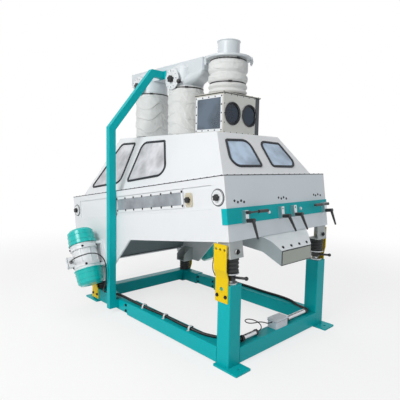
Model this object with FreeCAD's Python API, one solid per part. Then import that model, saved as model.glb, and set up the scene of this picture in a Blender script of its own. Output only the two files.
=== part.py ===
import FreeCAD
import Part
import math
import os

# Gravity destoner: a sprung, tilted screen casing on a welded and bolted base frame.
# Millimetres and degrees. Origin: middle of the four anchor holes, at floor level.
# X runs across the machine, Y from the raised stone end (front) to the low grain end, Z up.

# Base frame
frame_width = 940.0
frame_length = 1450.0
beam_width = 80.0
beam_height = 88.0
beam_wall = 5.0
beam_corner = 5.0
end_plate = 6.0
column_size = 90.0
column_height = 440.0
column_cap = 8.0
splice_start = 239.0
splice_end = 465.0
splice_recess = 6.0

# Foot plates and anchor holes
foot_thick = 10.0
foot_across = 115.0
foot_along = 170.0
foot_side_overhang = 22.0
foot_end_overhang = 77.0
foot_corner = 6.0
anchor_radius = 9.0
anchor_from_side = 40.0
anchor_beyond_end = 42.0

# Front spring jacks
jack_base_radius = 40.0
jack_base_thick = 8.0
spindle_radius = 14.0
spindle_length = 47.0
seat_radius = 48.0
seat_thick = 6.0
nut_radius = 30.0
nut_height = 28.0
nut_lift = 12.0
nut_clearance = 0.3
nut_bar_radius = 7.0
nut_bar_reach = 88.0
nut_bar_angle = -62.0
nut_ball_radius = 11.0

# Rubber springs
spring_radius = 46.0
spring_rib = 5.0
spring_ribs = 4
front_spring_height = 81.0
rear_spring_height = 84.0
spring_inset = 45.0
rear_spring_y = 660.0

# Transport lock plates
lock_width = 90.0
lock_thick = 6.0
lock_joggle = 17.0
lock_joggle_height = 44.0
front_lock_bottom = 355.0
front_lock_bend = 486.0
front_lock_top = 665.0
front_lock_y = -668.0
rear_lock_bottom = 20.0
rear_lock_bend = 96.0
rear_lock_top = 250.0
rear_lock_y = 680.0
lock_hole_radius = 7.0
lock_hole_pitch = 30.0
lock_hole_drop = 27.0
lock_slot_radius = 11.0
lock_slot_lift = 71.0
lock_bolt_lift = 34.0

# Bolts of the frame
bolt_radius = 6.0
bolt_head_radius = 10.0
bolt_head_height = 7.0
splice_bolt_inset = 22.0
splice_bolt_edge = 18.0

# Casing
casing_half = 485.0
casing_length = 1710.0
casing_depth = 342.0
deck_tilt = 8.13
casing_front_y = -674.0
casing_front_z = 1021.0
panel_thick = 12.0
front_sheet = 8.0
leg_front_y = 527.0
leg_rear_y = 800.0
leg_bottom_z = 187.0
leg_corner = 20.0
leg_start = 916.0
chute_side_y = 868.0
chute_side_z = 300.0
recess_depth = 8.0
recess_near = 97.0
recess_far = 1598.0
recess_top = 42.0
recess_bottom = 172.0
side_edge_radius = 4.0

# Side window strip, slope gauge and round covers
strip_near = 335.0
strip_far = 1056.0
strip_top = 54.0
strip_bottom = 146.0
strip_rim = 14.0
strip_thick = 3.0
gauge_along = 288.0
gauge_down = 110.0
gauge_width = 62.0
gauge_height = 80.0
gauge_thick = 5.0
gauge_corner = 14.0
gauge_knob_radius = 17.0
gauge_knob_height = 20.0
cover_radius = 43.0
cover_thick = 6.0
cover_near = 54.0
cover_far = 1655.0
cover_down = 111.0
knob_radius = 18.0
knob_height = 18.0
knob_lobes = 5
knob_stem_radius = 6.0
knob_gap = 0.3

# Front band, clamps, levers and gate handles
band_top = 171.0
band_bottom = 254.0
band_thick = 4.0
band_return = 34.0
clamp_places = (-364.0, -46.0, 81.0, 429.0)
clamp_top = 188.0
clamp_bottom = 256.0
clamp_width = 26.0
clamp_proud = 26.0
stud_share = 0.8
lever_hub_radius = 11.0
lever_hub_edge = 2.0
lever_hub_height = 46.0
lever_reach = 92.0
lever_angles = (-86.0, -70.0, -75.0, -84.0)
lever_root = 9.0
lever_tip = 5.5
lever_splay = 16.0
handle_down = 206.0
handle_reach = 152.0
handle_grip_length = 78.0
handle_grip_radius = 9.0
handle_rod_radius = 5.0
handle_hub_radius = 9.0
handle_hub_edge = 3.0
handle_standoff = 22.0
band_bolt_places = (-147.0, 170.0)

# Stone spout
spout_back_half = 367.0
spout_mouth_half = 148.0
spout_mouth_y = -807.0
spout_top_z = 690.0
spout_lip_z = 606.0
spout_bottom_z = 521.0
spout_throat_z = 640.0
spout_throat_y = -745.0
spout_wall = 3.0
spout_flange = 24.0

# Decks inside the casing
deck_rail = 30.0
deck_screen = 4.0
upper_deck_down = 96.0
lower_deck_down = 236.0
deck_near = 12.0
deck_far = 1560.0
deck_side_gap = 1.0

# Rear cover, grain chute and flap
rear_sheet = 8.0
chute_wall = 4.0
chute_neck = 1420.0
chute_front_y = 742.0
chute_rear_y = 860.0
chute_bottom_z = 293.0
flap_thick = 4.0
flap_gap = 1.0
flap_hinge_radius = 7.0
flap_pin_radius = 3.0
flap_run = 0.05

# Hood
hood_inset = 8.0
hood_far = 1605.0
hood_top_z = 1262.0
hood_top_half = 293.0
hood_top_near_y = -430.0
hood_top_far_y = 740.0
hood_wall = 3.0
collar_radius = 122.0
collar_height = 40.0
near_duct_y = 185.0
far_duct_y = 600.0
gasket_width = 10.0
gasket_proud = 5.0
pane_thick = 4.0
small_corner = 16.0
large_corner = 62.0

# Hood windows: (y, z) of the corners on the side sheet, (x, z) on the front sheet
side_window_near = ((98.0, 1226.0), (-110.0, 985.0), (262.0, 940.0), (340.0, 1222.0))
side_window_far = ((494.0, 1216.0), (385.0, 922.0), (780.0, 872.0), (690.0, 1214.0))
front_window_left = ((-262.0, 1210.0), (-42.0, 1212.0), (-84.0, 1060.0), (-346.0, 1058.0))
front_window_right = ((42.0, 1212.0), (238.0, 1212.0), (330.0, 1060.0), (24.0, 1060.0))

# Head box and feed gate
box_half = 173.0
box_near_y = -358.0
box_far_y = -111.0
box_top_z = 1510.0
box_wall = 3.0
box_lid_overhang = 5.0
box_lid_thick = 4.0
face_plate_thick = 4.0
face_plate_right = 128.0
port_radius = 67.0
port_places = (-93.0, 67.0)
port_z = 1387.0
port_ring = 5.0
box_window_margin = 19.0
box_window_bottom = 1292.0
box_window_top = 1482.0
gate_hinge_gap = 2.5
gate_hinge_z = 1408.0
gate_length = 178.0
gate_slope = -27.0
gate_thick = 4.0
gate_pin_radius = 5.0
gate_side_gap = 4.0
running_clearance = 0.05

# Inlet
inlet_y = -230.0
inlet_radius = 73.0
inlet_wall = 3.0
inlet_top_z = 1865.0
inlet_rim = 4.0
flange_radius = 150.0
flange_bottom_z = 1748.0
flange_thick = 12.0
inlet_collar_radius = 112.0
inlet_collar_drop = 48.0
box_collar_height = 34.0
latch_reach = 12.0
latch_width = 30.0

# Fabric sleeves
sleeve_thick = 3.0
sleeve_gap = 0.4
duct_sleeve_bulge = 17.0
inlet_sleeve_bulge = 14.0
inlet_sleeve_folds = 3
sleeve_overlap = 32.0

# Exhaust trunk, valves and support post
stub_bottom_z = 1586.0
stub_shoulder_z = 1740.0
stub_neck_z = 1780.0
trunk_half = 70.0
trunk_bottom_z = 1700.0
trunk_top_z = 1790.0
trunk_near_y = -60.0
trunk_far_y = 793.0
trunk_wall = 2.0
valve_z = 1665.0
valve_blade_gap = 3.0
valve_blade_thick = 3.0
valve_shaft_radius = 7.0
index_plate_radius = 72.0
index_plate_thick = 4.0
index_boss_length = 12.0
index_boss_radius = 20.0
valve_knob_radius = 24.0
valve_knob_height = 24.0
post_width = 50.0
post_depth = 40.0
post_wall = 3.0
post_x = -515.0
post_y = 371.0
post_bottom_z = 36.0
post_bend_z = 1303.0
arm_bend_x = -176.0
arm_z = 1727.0
arm_seat_height = 60.0

# Vibration motors
motor_x = 605.0
motor_y = 581.0
motor_z = 380.0
motor_tilt = 27.0
motor_body_radius = 84.0
motor_body_half = 92.0
motor_ring_radius = 92.0
motor_ring_width = 14.0
motor_cap_radius = 98.0
motor_cap_length = 112.0
motor_cap_wall = 3.0
motor_cap_round = 16.0
motor_ribs = 8
motor_rib_height = 5.0
motor_rib_width = 6.0
motor_foot_half = 82.0
motor_foot_thick = 14.0
motor_web = 20.0
motor_bore_clearance = 0.05
rotor_shaft_radius = 15.0
rotor_weight_radius = 76.0
rotor_weight_thick = 34.0
rotor_weight_gap = 14.0
terminal_angle = 160.0
terminal_radius = 108.0
terminal_size = 72.0
terminal_height = 46.0
terminal_drop = 20.0
gland_radius = 10.0
gland_length = 16.0

# Electrical fittings on the frame
junction_left_x = -45.0
junction_right_x = 70.0
junction_near_y = -718.0
junction_far_y = -650.0
junction_height = 56.0
junction_corner = 6.0
conduit_radius = 9.0
hose_radius = 15.0
coupling_radius = 19.0
coupling_length = 16.0
left_conduit_x = -430.0
right_conduit_x = 452.0
front_conduit_y = -684.0
left_hose_from = -325.0
left_hose_to = -190.0
right_hose_from = 92.0
right_hose_to = 318.0
cable_radius = 4.0
junction_cable_radius = 3.0
clip_width = 14.0
clip_wall = 2.5
clip_places = (84.0, -146.0, -384.0)

# Places worked out from the dimensions above
half_width = frame_width / 2
half_length = frame_length / 2
beam_top = foot_thick + beam_height
hose_z = beam_top + coupling_radius
conduit_z = beam_top + conduit_radius
column_top = foot_thick + column_height
column_inner = half_width - column_size
column_back = -half_length + column_size
spring_x = half_width - spring_inset
front_spring_y = -half_length + spring_inset
front_spring_bottom = column_top + jack_base_thick + spindle_length + seat_thick
front_spring_top = front_spring_bottom + front_spring_height
rear_spring_top = beam_top + rear_spring_height
panel_inner = casing_half - panel_thick
anchor_x = half_width - anchor_from_side
anchor_y = half_length + anchor_beyond_end
tilt_sin = math.sin(math.radians(deck_tilt))
tilt_cos = math.cos(math.radians(deck_tilt))
shake_axis = (0.0, -math.cos(math.radians(motor_tilt)), math.sin(math.radians(motor_tilt)))
motor_axis = (0.0, math.sin(math.radians(motor_tilt)), math.cos(math.radians(motor_tilt)))
flange_top_z = flange_bottom_z + flange_thick
inlet_collar_bottom = flange_bottom_z - inlet_collar_drop
box_collar_top = box_top_z + box_lid_thick + box_collar_height
gate_hinge_y = box_near_y + box_wall + gate_pin_radius + gate_hinge_gap


def vec(x, y, z):
    return FreeCAD.Vector(x, y, z)


ACROSS = vec(1, 0, 0)
ALONG = vec(0, 1, 0)
UP = vec(0, 0, 1)


def box(low, high):
    size = high - low
    return Part.makeBox(size.x, size.y, size.z, low)


def fuse(shapes):
    whole = shapes[0]
    if len(shapes) > 1:
        whole = shapes[0].multiFuse(shapes[1:])
    return whole.removeSplitter()


def cylinder(start, end, radius):
    run = end - start
    return Part.makeCylinder(radius, run.Length, start, run)


def ring(start, end, outer, inner):
    return cylinder(start, end, outer).cut(cylinder(start, end, inner))


def rounded_wire(points, radii):
    # A closed outline through the corners, each turned with its own radius.
    edges = []
    count = len(points)
    starts = []
    ends = []
    arcs = []
    for i in range(count):
        corner = points[i]
        before = (points[i - 1] - corner).normalize()
        after = (points[(i + 1) % count] - corner).normalize()
        if radii[i] <= 0:
            starts.append(corner)
            ends.append(corner)
            arcs.append(None)
            continue
        half = before.getAngle(after) / 2
        tangent = radii[i] / math.tan(half)
        middle = (before + after).normalize()
        centre = corner + middle * (radii[i] / math.sin(half))
        starts.append(corner + before * tangent)
        ends.append(corner + after * tangent)
        arcs.append(Part.Arc(starts[-1], centre - middle * radii[i], ends[-1]).toShape())
    for i in range(count):
        if arcs[i] is not None:
            edges.append(arcs[i])
        following = (i + 1) % count
        if (starts[following] - ends[i]).Length > 1e-6:
            edges.append(Part.LineSegment(ends[i], starts[following]).toShape())
    return Part.Wire(Part.__sortEdges__(edges))


def prism(points, run, radius=0.0):
    radii = [radius] * len(points)
    return Part.Face(rounded_wire(points, radii)).extrude(run)


def rectangle(centre, side_a, side_b, width, height):
    a = side_a * (width / 2)
    b = side_b * (height / 2)
    return [centre - a - b, centre + a - b, centre + a + b, centre - a + b]


def hollow_bar(start, end, side_a, side_b, width, height, wall, corner, cap):
    # A rolled rectangular tube whose ends are closed by plates of thickness cap.
    run = end - start
    outer = prism(rectangle(start, side_a, side_b, width, height), run, corner)
    inner_start = start + run * (cap / run.Length)
    inner_run = run * (1 - 2 * cap / run.Length)
    inner_width = width - 2 * wall
    inner_height = height - 2 * wall
    inner_corner = max(corner - wall, 1.0)
    inner = prism(rectangle(inner_start, side_a, side_b, inner_width, inner_height), inner_run, inner_corner)
    return outer.cut(inner)


def revolve(profile, centre, axis=UP):
    # The profile is a list of (radius, height) corners measured from the centre.
    points = [centre + ACROSS * r + UP * h for r, h in profile]
    face = Part.Face(Part.makePolygon(points + [points[0]]))
    solid = face.revolve(centre, UP, 360)
    if (axis - UP).Length > 1e-9:
        turn = FreeCAD.Rotation(UP, axis)
        placed = FreeCAD.Placement(vec(0, 0, 0), turn, centre)
        solid = solid.transformGeometry(placed.toMatrix())
    return solid


def mirrored(shape):
    return shape.mirror(vec(0, 0, 0), ACROSS)


def both_sides(shape):
    return [shape, mirrored(shape)]


def lean(shape):
    # Moves a shape from the casing's own axes (across, down the slope, out of the deck) into place.
    placed = shape.copy()
    placed.rotate(vec(0, 0, 0), ACROSS, -deck_tilt)
    placed.translate(vec(0, casing_front_y, casing_front_z))
    return placed


def on_casing(along, down):
    # The Y and Z of a point of the casing's side, from its slope distance and depth.
    y = casing_front_y + along * tilt_cos - down * tilt_sin
    z = casing_front_z - along * tilt_sin - down * tilt_cos
    return y, z


def star(centre, axis, radius, height, lobes):
    # A lobed hand knob, with its lobes round a pitch circle.
    lobe = radius * 0.36
    core = cylinder(centre, centre + axis * height, radius * 0.72)
    side = UP if abs(axis.dot(UP)) < 0.5 else ACROSS
    parts = [core]
    for i in range(lobes):
        turn = FreeCAD.Rotation(axis, 360.0 * i / lobes)
        offset = turn.multVec(side) * (radius - lobe)
        parts.append(cylinder(centre + offset, centre + offset + axis * height, lobe))
    return fuse(parts)


def bolt(face, axis):
    # A hexagon head on the face, with its washer.
    head = Part.makeCylinder(bolt_head_radius, 1.5, face, axis)
    side = UP if abs(axis.dot(UP)) < 0.5 else ACROSS
    corners = []
    for i in range(6):
        turn = FreeCAD.Rotation(axis, 60.0 * i)
        corners.append(face + axis * 1.5 + turn.multVec(side) * (bolt_head_radius * 0.86))
    return fuse([head, prism(corners, axis * (bolt_head_height - 1.5))])


# Base frame


def foot_plates():
    plates = []
    for side in (-1, 1):
        for end in (-1, 1):
            centre_x = side * (half_width + foot_side_overhang - foot_across / 2)
            centre_y = end * (half_length + foot_end_overhang - foot_along / 2)
            outline = rectangle(vec(centre_x, centre_y, 0), ACROSS, ALONG, foot_across, foot_along)
            plate = prism(outline, UP * foot_thick, foot_corner)
            hole_foot = vec(side * anchor_x, end * anchor_y, 0)
            plates.append(plate.cut(cylinder(hole_foot, hole_foot + UP * foot_thick, anchor_radius)))
    return Part.makeCompound(plates)


def beam(start, end):
    side = ACROSS if abs((end - start).x) < 1 else ALONG
    return hollow_bar(start, end, side, UP, beam_width, beam_height, beam_wall, beam_corner, end_plate)


def cross_beams():
    middle = foot_thick + beam_height / 2
    front_y = -half_length + beam_width / 2
    rear_y = half_length - beam_width / 2
    front = beam(vec(-column_inner, front_y, middle), vec(column_inner, front_y, middle))
    rear_x = half_width - beam_width
    rear = beam(vec(-rear_x, rear_y, middle), vec(rear_x, rear_y, middle))
    return Part.makeCompound([front, rear])


def left_rail():
    middle = foot_thick + beam_height / 2
    x = -half_width + beam_width / 2
    front = beam(vec(x, column_back, middle), vec(x, splice_start, middle))
    rear = beam(vec(x, splice_end, middle), vec(x, half_length, middle))
    return Part.makeCompound([front, rear])


def rail_splices():
    middle = foot_thick + beam_height / 2
    x = -half_width + beam_width / 2
    width = beam_width - 2 * splice_recess
    height = beam_height - 2 * splice_recess
    start = vec(x, splice_start, middle)
    end = vec(x, splice_end, middle)
    link = hollow_bar(start, end, ACROSS, UP, width, height, beam_wall, beam_corner, end_plate)
    return Part.makeCompound(both_sides(link))


def front_columns():
    centre = vec(-spring_x, front_spring_y, foot_thick)
    top = vec(-spring_x, front_spring_y, column_top)
    column = hollow_bar(centre, top, ACROSS, ALONG, column_size, column_size, beam_wall, beam_corner, column_cap)
    return Part.makeCompound(both_sides(column))


def spring_jacks():
    foot = vec(-spring_x, front_spring_y, column_top)
    stem_top = foot + UP * (jack_base_thick + spindle_length)
    base = cylinder(foot, foot + UP * jack_base_thick, jack_base_radius)
    stem = cylinder(foot, stem_top, spindle_radius)
    seat = cylinder(stem_top, stem_top + UP * seat_thick, seat_radius)
    return Part.makeCompound(both_sides(fuse([base, stem, seat])))


def lock_nut(side):
    low = vec(side * spring_x, front_spring_y, column_top + jack_base_thick + nut_lift)
    corners = []
    for i in range(6):
        turn = FreeCAD.Rotation(UP, 60.0 * i)
        corners.append(low + turn.multVec(ACROSS) * nut_radius)
    nut = prism(corners, UP * nut_height)
    turn = FreeCAD.Rotation(UP, nut_bar_angle)
    outward = turn.multVec(ACROSS)
    middle = low + UP * (nut_height / 2)
    bar = cylinder(middle + outward * (spindle_radius + 4), middle + outward * nut_bar_reach, nut_bar_radius)
    ball = Part.makeSphere(nut_ball_radius, middle + outward * nut_bar_reach)
    bore = cylinder(low, low + UP * nut_height, spindle_radius + nut_clearance)
    return fuse([nut, bar, ball]).cut(bore)


def lock_plate(bottom, bend, top, y):
    # A plate bolted to the frame that steps out past the casing's side.
    face = -half_width
    near = y - lock_width / 2
    outer = [
        (face, bottom),
        (face, bend),
        (face - lock_joggle, bend + lock_joggle_height),
        (face - lock_joggle, top),
        (face - lock_joggle - lock_thick, top),
        (face - lock_joggle - lock_thick, bend + lock_joggle_height),
        (face - lock_thick, bend),
        (face - lock_thick, bottom),
    ]
    points = [vec(x, near, z) for x, z in outer]
    plate = prism(points, ALONG * lock_width)
    through = ACROSS * (lock_joggle + 2 * lock_thick)
    start_x = face - lock_joggle - 2 * lock_thick + 1
    for i in (-1, 0, 1):
        hole = vec(start_x, y + i * lock_hole_pitch, top - lock_hole_drop)
        plate = plate.cut(cylinder(hole, hole + through, lock_hole_radius))
    return plate


def lock_plates():
    front = lock_plate(front_lock_bottom, front_lock_bend, front_lock_top, front_lock_y)
    slot = vec(-half_width - 2 * lock_thick, front_lock_y, front_lock_bottom + lock_slot_lift)
    front = front.cut(cylinder(slot, slot + ACROSS * (3 * lock_thick), lock_slot_radius))
    rear = lock_plate(rear_lock_bottom, rear_lock_bend, rear_lock_top, rear_lock_y)
    return Part.makeCompound(both_sides(front) + both_sides(rear))


def frame_bolts():
    heads = []
    lock_face = -half_width - lock_thick
    for y, z in ((front_lock_y, front_lock_bottom), (rear_lock_y, rear_lock_bottom)):
        for i in (-1, 1):
            heads.append(bolt(vec(lock_face, y + i * lock_hole_pitch, z + lock_bolt_lift), -ACROSS))
    splice_face = -half_width + splice_recess
    low = foot_thick + splice_recess + splice_bolt_edge
    high = beam_top - splice_recess - splice_bolt_edge
    for y in (splice_start + splice_bolt_inset, splice_end - splice_bolt_inset):
        for z in (low, high):
            heads.append(bolt(vec(splice_face, y, z), -ACROSS))
            inner_face = vec(-half_width + beam_width - splice_recess, y, z)
            heads.append(bolt(inner_face, ACROSS))
    whole = []
    for head in heads:
        whole.extend(both_sides(head))
    return Part.makeCompound(whole)


def mitred_outline(path, width):
    # Both edges of a bent bar of constant width whose centre line is the path, in the XZ plane.
    left = []
    right = []
    for i, point in enumerate(path):
        normals = []
        if i > 0:
            normals.append((path[i] - path[i - 1]).normalize().cross(ALONG))
        if i < len(path) - 1:
            normals.append((path[i + 1] - path[i]).normalize().cross(ALONG))
        middle = normals[0]
        if len(normals) == 2:
            middle = (normals[0] + normals[1]).normalize()
        reach = width / 2 / middle.dot(normals[0])
        left.append(point + middle * reach)
        right.append(point - middle * reach)
    return left + right[::-1]


def support_post():
    # The post climbs beside the casing, leans over it and carries the exhaust trunk.
    arm_end = -trunk_half
    path = [
        vec(post_x, post_y, post_bottom_z),
        vec(post_x, post_y, post_bend_z),
        vec(arm_bend_x, post_y, arm_z),
        vec(arm_end, post_y, arm_z),
    ]
    near = -ALONG * (post_depth / 2)
    outer = [p + near for p in mitred_outline(path, post_width)]
    inner = [p + near + ALONG * post_wall for p in mitred_outline(path, post_width - 2 * post_wall)]
    tube = prism(outer, ALONG * post_depth)
    hollow = prism(inner, ALONG * (post_depth - 2 * post_wall))
    tube = tube.cut(hollow)
    foot_cap = box(
        vec(post_x - post_width / 2, post_y - post_depth / 2, post_bottom_z),
        vec(post_x + post_width / 2, post_y + post_depth / 2, post_bottom_z + post_wall),
    )
    spacer = box(
        vec(post_x + post_width / 2, post_y - post_depth / 2, post_bottom_z),
        vec(-half_width + splice_recess, post_y + post_depth / 2, beam_top - splice_recess),
    )
    seat = box(
        vec(arm_end - end_plate, post_y - post_depth, arm_z - arm_seat_height / 2),
        vec(arm_end, post_y + post_depth, arm_z + arm_seat_height / 2),
    )
    return fuse([tube, foot_cap, spacer, seat])


# Exhaust trunk, valves and inlet


def stub_profile(radius, neck):
    return [(0, stub_bottom_z), (radius, stub_bottom_z), (radius, stub_shoulder_z), (neck, stub_neck_z), (0, stub_neck_z)]


def exhaust_trunk():
    outer = [box(vec(-trunk_half, trunk_near_y, trunk_bottom_z), vec(trunk_half, trunk_far_y, trunk_top_z))]
    inner_half = trunk_half - trunk_wall
    inner = [
        box(
            vec(-inner_half, trunk_near_y + trunk_wall, trunk_bottom_z + trunk_wall),
            vec(inner_half, trunk_far_y, trunk_top_z - trunk_wall),
        )
    ]
    shafts = []
    for y in (near_duct_y, far_duct_y):
        centre = vec(0, y, 0)
        outer.append(revolve(stub_profile(collar_radius, trunk_half), centre))
        inner.append(revolve(stub_profile(collar_radius - trunk_wall, trunk_half - trunk_wall), centre))
        reach = collar_radius + trunk_wall
        shaft_radius = valve_shaft_radius + running_clearance
        shafts.append(cylinder(vec(-reach, y, valve_z), vec(reach, y, valve_z), shaft_radius))
    shell = fuse(outer).cut(fuse(inner))
    return shell.cut(Part.makeCompound(shafts))


def index_plates():
    # The white plate beside each stub that the valve's knob locks against.
    plates = []
    for y in (near_duct_y, far_duct_y):
        stub = vec(-collar_radius, y, valve_z)
        boss_end = stub - ACROSS * index_boss_length
        boss = cylinder(stub + ACROSS * 4, boss_end, index_boss_radius)
        boss = boss.cut(cylinder(vec(0, y, 0), vec(0, y, trunk_top_z), collar_radius))
        plate = cylinder(boss_end, boss_end - ACROSS * index_plate_thick, index_plate_radius)
        bore = cylinder(stub + ACROSS * 8, boss_end - ACROSS * 8, valve_shaft_radius + running_clearance)
        plates.append(fuse([boss, plate]).cut(bore))
    return Part.makeCompound(plates)


def duct_valve(y):
    # Blade, through shaft and star knob. At rest the blade stands open, in line with the flow.
    blade_radius = collar_radius - trunk_wall - valve_blade_gap
    middle = vec(0, y, valve_z)
    half = ALONG * (valve_blade_thick / 2)
    blade = cylinder(middle - half, middle + half, blade_radius)
    knob_face = collar_radius + index_boss_length + index_plate_thick + knob_gap
    shaft = cylinder(middle - ACROSS * (knob_face + 4), middle + ACROSS * (collar_radius + 6), valve_shaft_radius)
    knob = star(middle - ACROSS * knob_face, -ACROSS, valve_knob_radius, valve_knob_height, knob_lobes)
    return fuse([blade, shaft, knob])


def inlet_pipe():
    centre = vec(0, inlet_y, 0)
    top = inlet_top_z
    profile = [
        (inlet_radius - inlet_wall, inlet_collar_bottom),
        (inlet_collar_radius, inlet_collar_bottom),
        (inlet_collar_radius, flange_bottom_z),
        (flange_radius, flange_bottom_z),
        (flange_radius, flange_top_z),
        (inlet_radius, flange_top_z),
        (inlet_radius, top - 2 * inlet_rim),
        (inlet_radius + inlet_rim, top - inlet_rim),
        (inlet_radius + inlet_rim, top),
        (inlet_radius - inlet_wall, top),
    ]
    pipe = revolve(profile, centre)
    hollow = ring(
        vec(0, inlet_y, inlet_collar_bottom),
        vec(0, inlet_y, flange_bottom_z),
        inlet_collar_radius - inlet_wall,
        inlet_radius,
    )
    pipe = pipe.cut(hollow)
    hanger_half = trunk_half - 10
    tab = box(vec(-hanger_half, inlet_y + flange_radius - 30, flange_bottom_z), vec(hanger_half, trunk_near_y, flange_top_z))
    lug = box(vec(-hanger_half, trunk_near_y - end_plate, trunk_bottom_z + 6), vec(hanger_half, trunk_near_y, flange_top_z))
    pieces = [pipe, tab, lug]
    for angle in (137.0, -43.0):
        turn = FreeCAD.Rotation(UP, angle)
        outward = turn.multVec(ACROSS)
        side = turn.multVec(ALONG)
        rim = vec(0, inlet_y, flange_bottom_z - 30) + outward * (flange_radius - 6)
        hook = [
            rim,
            rim + outward * latch_reach,
            rim + outward * (latch_reach + 6) + UP * 20,
            rim + outward * latch_reach + UP * 50,
            rim - outward * 14 + UP * 56,
            rim - outward * 14 + UP * 42,
            rim + outward * (latch_reach - 6) + UP * 42,
            rim + UP * 24,
        ]
        pieces.append(prism([p - side * (latch_width / 2) for p in hook], side * latch_width))
    return fuse(pieces)


def sleeve(centre_y, low, high, end_radius, bulge, folds):
    # A fabric tube gripped at both ends and bellied between, with one belly for each fold.
    samples = 6 * folds
    inside = []
    for i in range(samples + 1):
        share = i / samples
        swell = bulge * abs(math.sin(math.pi * folds * share)) ** 0.5
        inside.append((end_radius + sleeve_gap + swell, low + (high - low) * share))
    outside = [(r + sleeve_thick, z) for r, z in reversed(inside)]
    return revolve(inside + outside, vec(0, centre_y, 0))


def duct_sleeves():
    low = hood_top_z + 2
    high = stub_bottom_z + sleeve_overlap
    sleeves = [sleeve(y, low, high, collar_radius, duct_sleeve_bulge, 1) for y in (near_duct_y, far_duct_y)]
    return Part.makeCompound(sleeves)


def inlet_sleeve():
    low = box_top_z + box_lid_thick + 2
    high = flange_bottom_z - 2
    return sleeve(inlet_y, low, high, inlet_collar_radius, inlet_sleeve_bulge, inlet_sleeve_folds)


# Casing


def side_panel():
    near_top = on_casing(0, 0)
    far_top = on_casing(casing_length, 0)
    far_bottom = on_casing(casing_length, casing_depth)
    knee = on_casing(leg_start, casing_depth)
    near_bottom = on_casing(0, casing_depth)
    corners = [
        near_top,
        far_top,
        far_bottom,
        (chute_side_y, chute_side_z),
        (leg_rear_y, leg_bottom_z),
        (leg_front_y, leg_bottom_z),
        knee,
        near_bottom,
    ]
    edge = side_edge_radius
    radii = [edge, edge, edge, leg_corner, leg_corner, leg_corner, leg_corner, edge]
    points = [vec(-casing_half, y, z) for y, z in corners]
    panel = Part.Face(rounded_wire(points, radii)).extrude(ACROSS * panel_thick)
    recess_middle = vec(-casing_half, (recess_near + recess_far) / 2, -(recess_top + recess_bottom) / 2)
    recess_outline = rectangle(recess_middle, ALONG, UP, recess_far - recess_near, recess_bottom - recess_top)
    panel = panel.cut(lean(prism(recess_outline, ACROSS * recess_depth, side_edge_radius)))
    strip_middle = vec(-casing_half, (strip_near + strip_far) / 2, -(strip_top + strip_bottom) / 2)
    strip_length = strip_far - strip_near - 2 * strip_rim
    strip_height = strip_bottom - strip_top - 2 * strip_rim
    strip_outline = rectangle(strip_middle, ALONG, UP, strip_length, strip_height)
    return panel.cut(lean(prism(strip_outline, ACROSS * panel_thick, side_edge_radius)))


def side_windows():
    floor = casing_half - recess_depth
    middle = vec(-floor, (strip_near + strip_far) / 2, -(strip_top + strip_bottom) / 2)
    outline = rectangle(middle, ALONG, UP, strip_far - strip_near, strip_bottom - strip_top)
    strip = lean(prism(outline, -ACROSS * strip_thick, side_edge_radius))
    return Part.makeCompound(both_sides(strip))


def cover_place(along):
    y, z = on_casing(along, cover_down)
    return vec(-casing_half, y, z)


def round_covers():
    covers = []
    for along in (cover_near, cover_far):
        face = cover_place(along)
        disc = cylinder(face, face - ACROSS * cover_thick, cover_radius)
        bore_radius = knob_stem_radius + running_clearance
        covers.append(disc.cut(cylinder(face, face - ACROSS * cover_thick, bore_radius)))
    return Part.makeCompound(covers)


def cover_knob(along):
    face = cover_place(along)
    knob_face = face - ACROSS * (cover_thick + knob_gap)
    knob = star(knob_face, -ACROSS, knob_radius, knob_height, knob_lobes)
    stem = cylinder(face, knob_face - ACROSS * 2, knob_stem_radius)
    return fuse([knob, stem])


def gauge_place():
    y, z = on_casing(gauge_along, gauge_down)
    return vec(-casing_half + recess_depth, y, z)


def gauge_plate():
    middle = vec(-casing_half + recess_depth, gauge_along, -gauge_down)
    outline = rectangle(middle, ALONG, UP, gauge_width, gauge_height)
    plate = lean(prism(outline, -ACROSS * gauge_thick, gauge_corner))
    face = gauge_place()
    bore = cylinder(face, face - ACROSS * gauge_thick, knob_stem_radius + running_clearance)
    return plate.cut(bore)


def gauge_knob():
    face = gauge_place()
    knob_face = face - ACROSS * (gauge_thick + knob_gap)
    knob = star(knob_face, -ACROSS, gauge_knob_radius, gauge_knob_height, knob_lobes)
    stem = cylinder(face, knob_face - ACROSS * 2, knob_stem_radius)
    return fuse([knob, stem])


def front_panel():
    plate = box(vec(-panel_inner, 0, -casing_depth), vec(panel_inner, front_sheet, 0))
    return lean(plate)


def colour_band():
    # A folded band across the front whose ends return round both corners.
    outer = casing_half + band_thick
    points = [
        vec(-outer, -band_thick, -band_bottom),
        vec(outer, -band_thick, -band_bottom),
        vec(outer, band_return, -band_bottom),
        vec(casing_half, band_return, -band_bottom),
        vec(casing_half, 0, -band_bottom),
        vec(-casing_half, 0, -band_bottom),
        vec(-casing_half, band_return, -band_bottom),
        vec(-outer, band_return, -band_bottom),
    ]
    band = prism(points, UP * (band_bottom - band_top))
    return lean(band)


def clamp_face(x, down):
    return vec(x, -band_thick - clamp_proud, -down)


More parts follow.
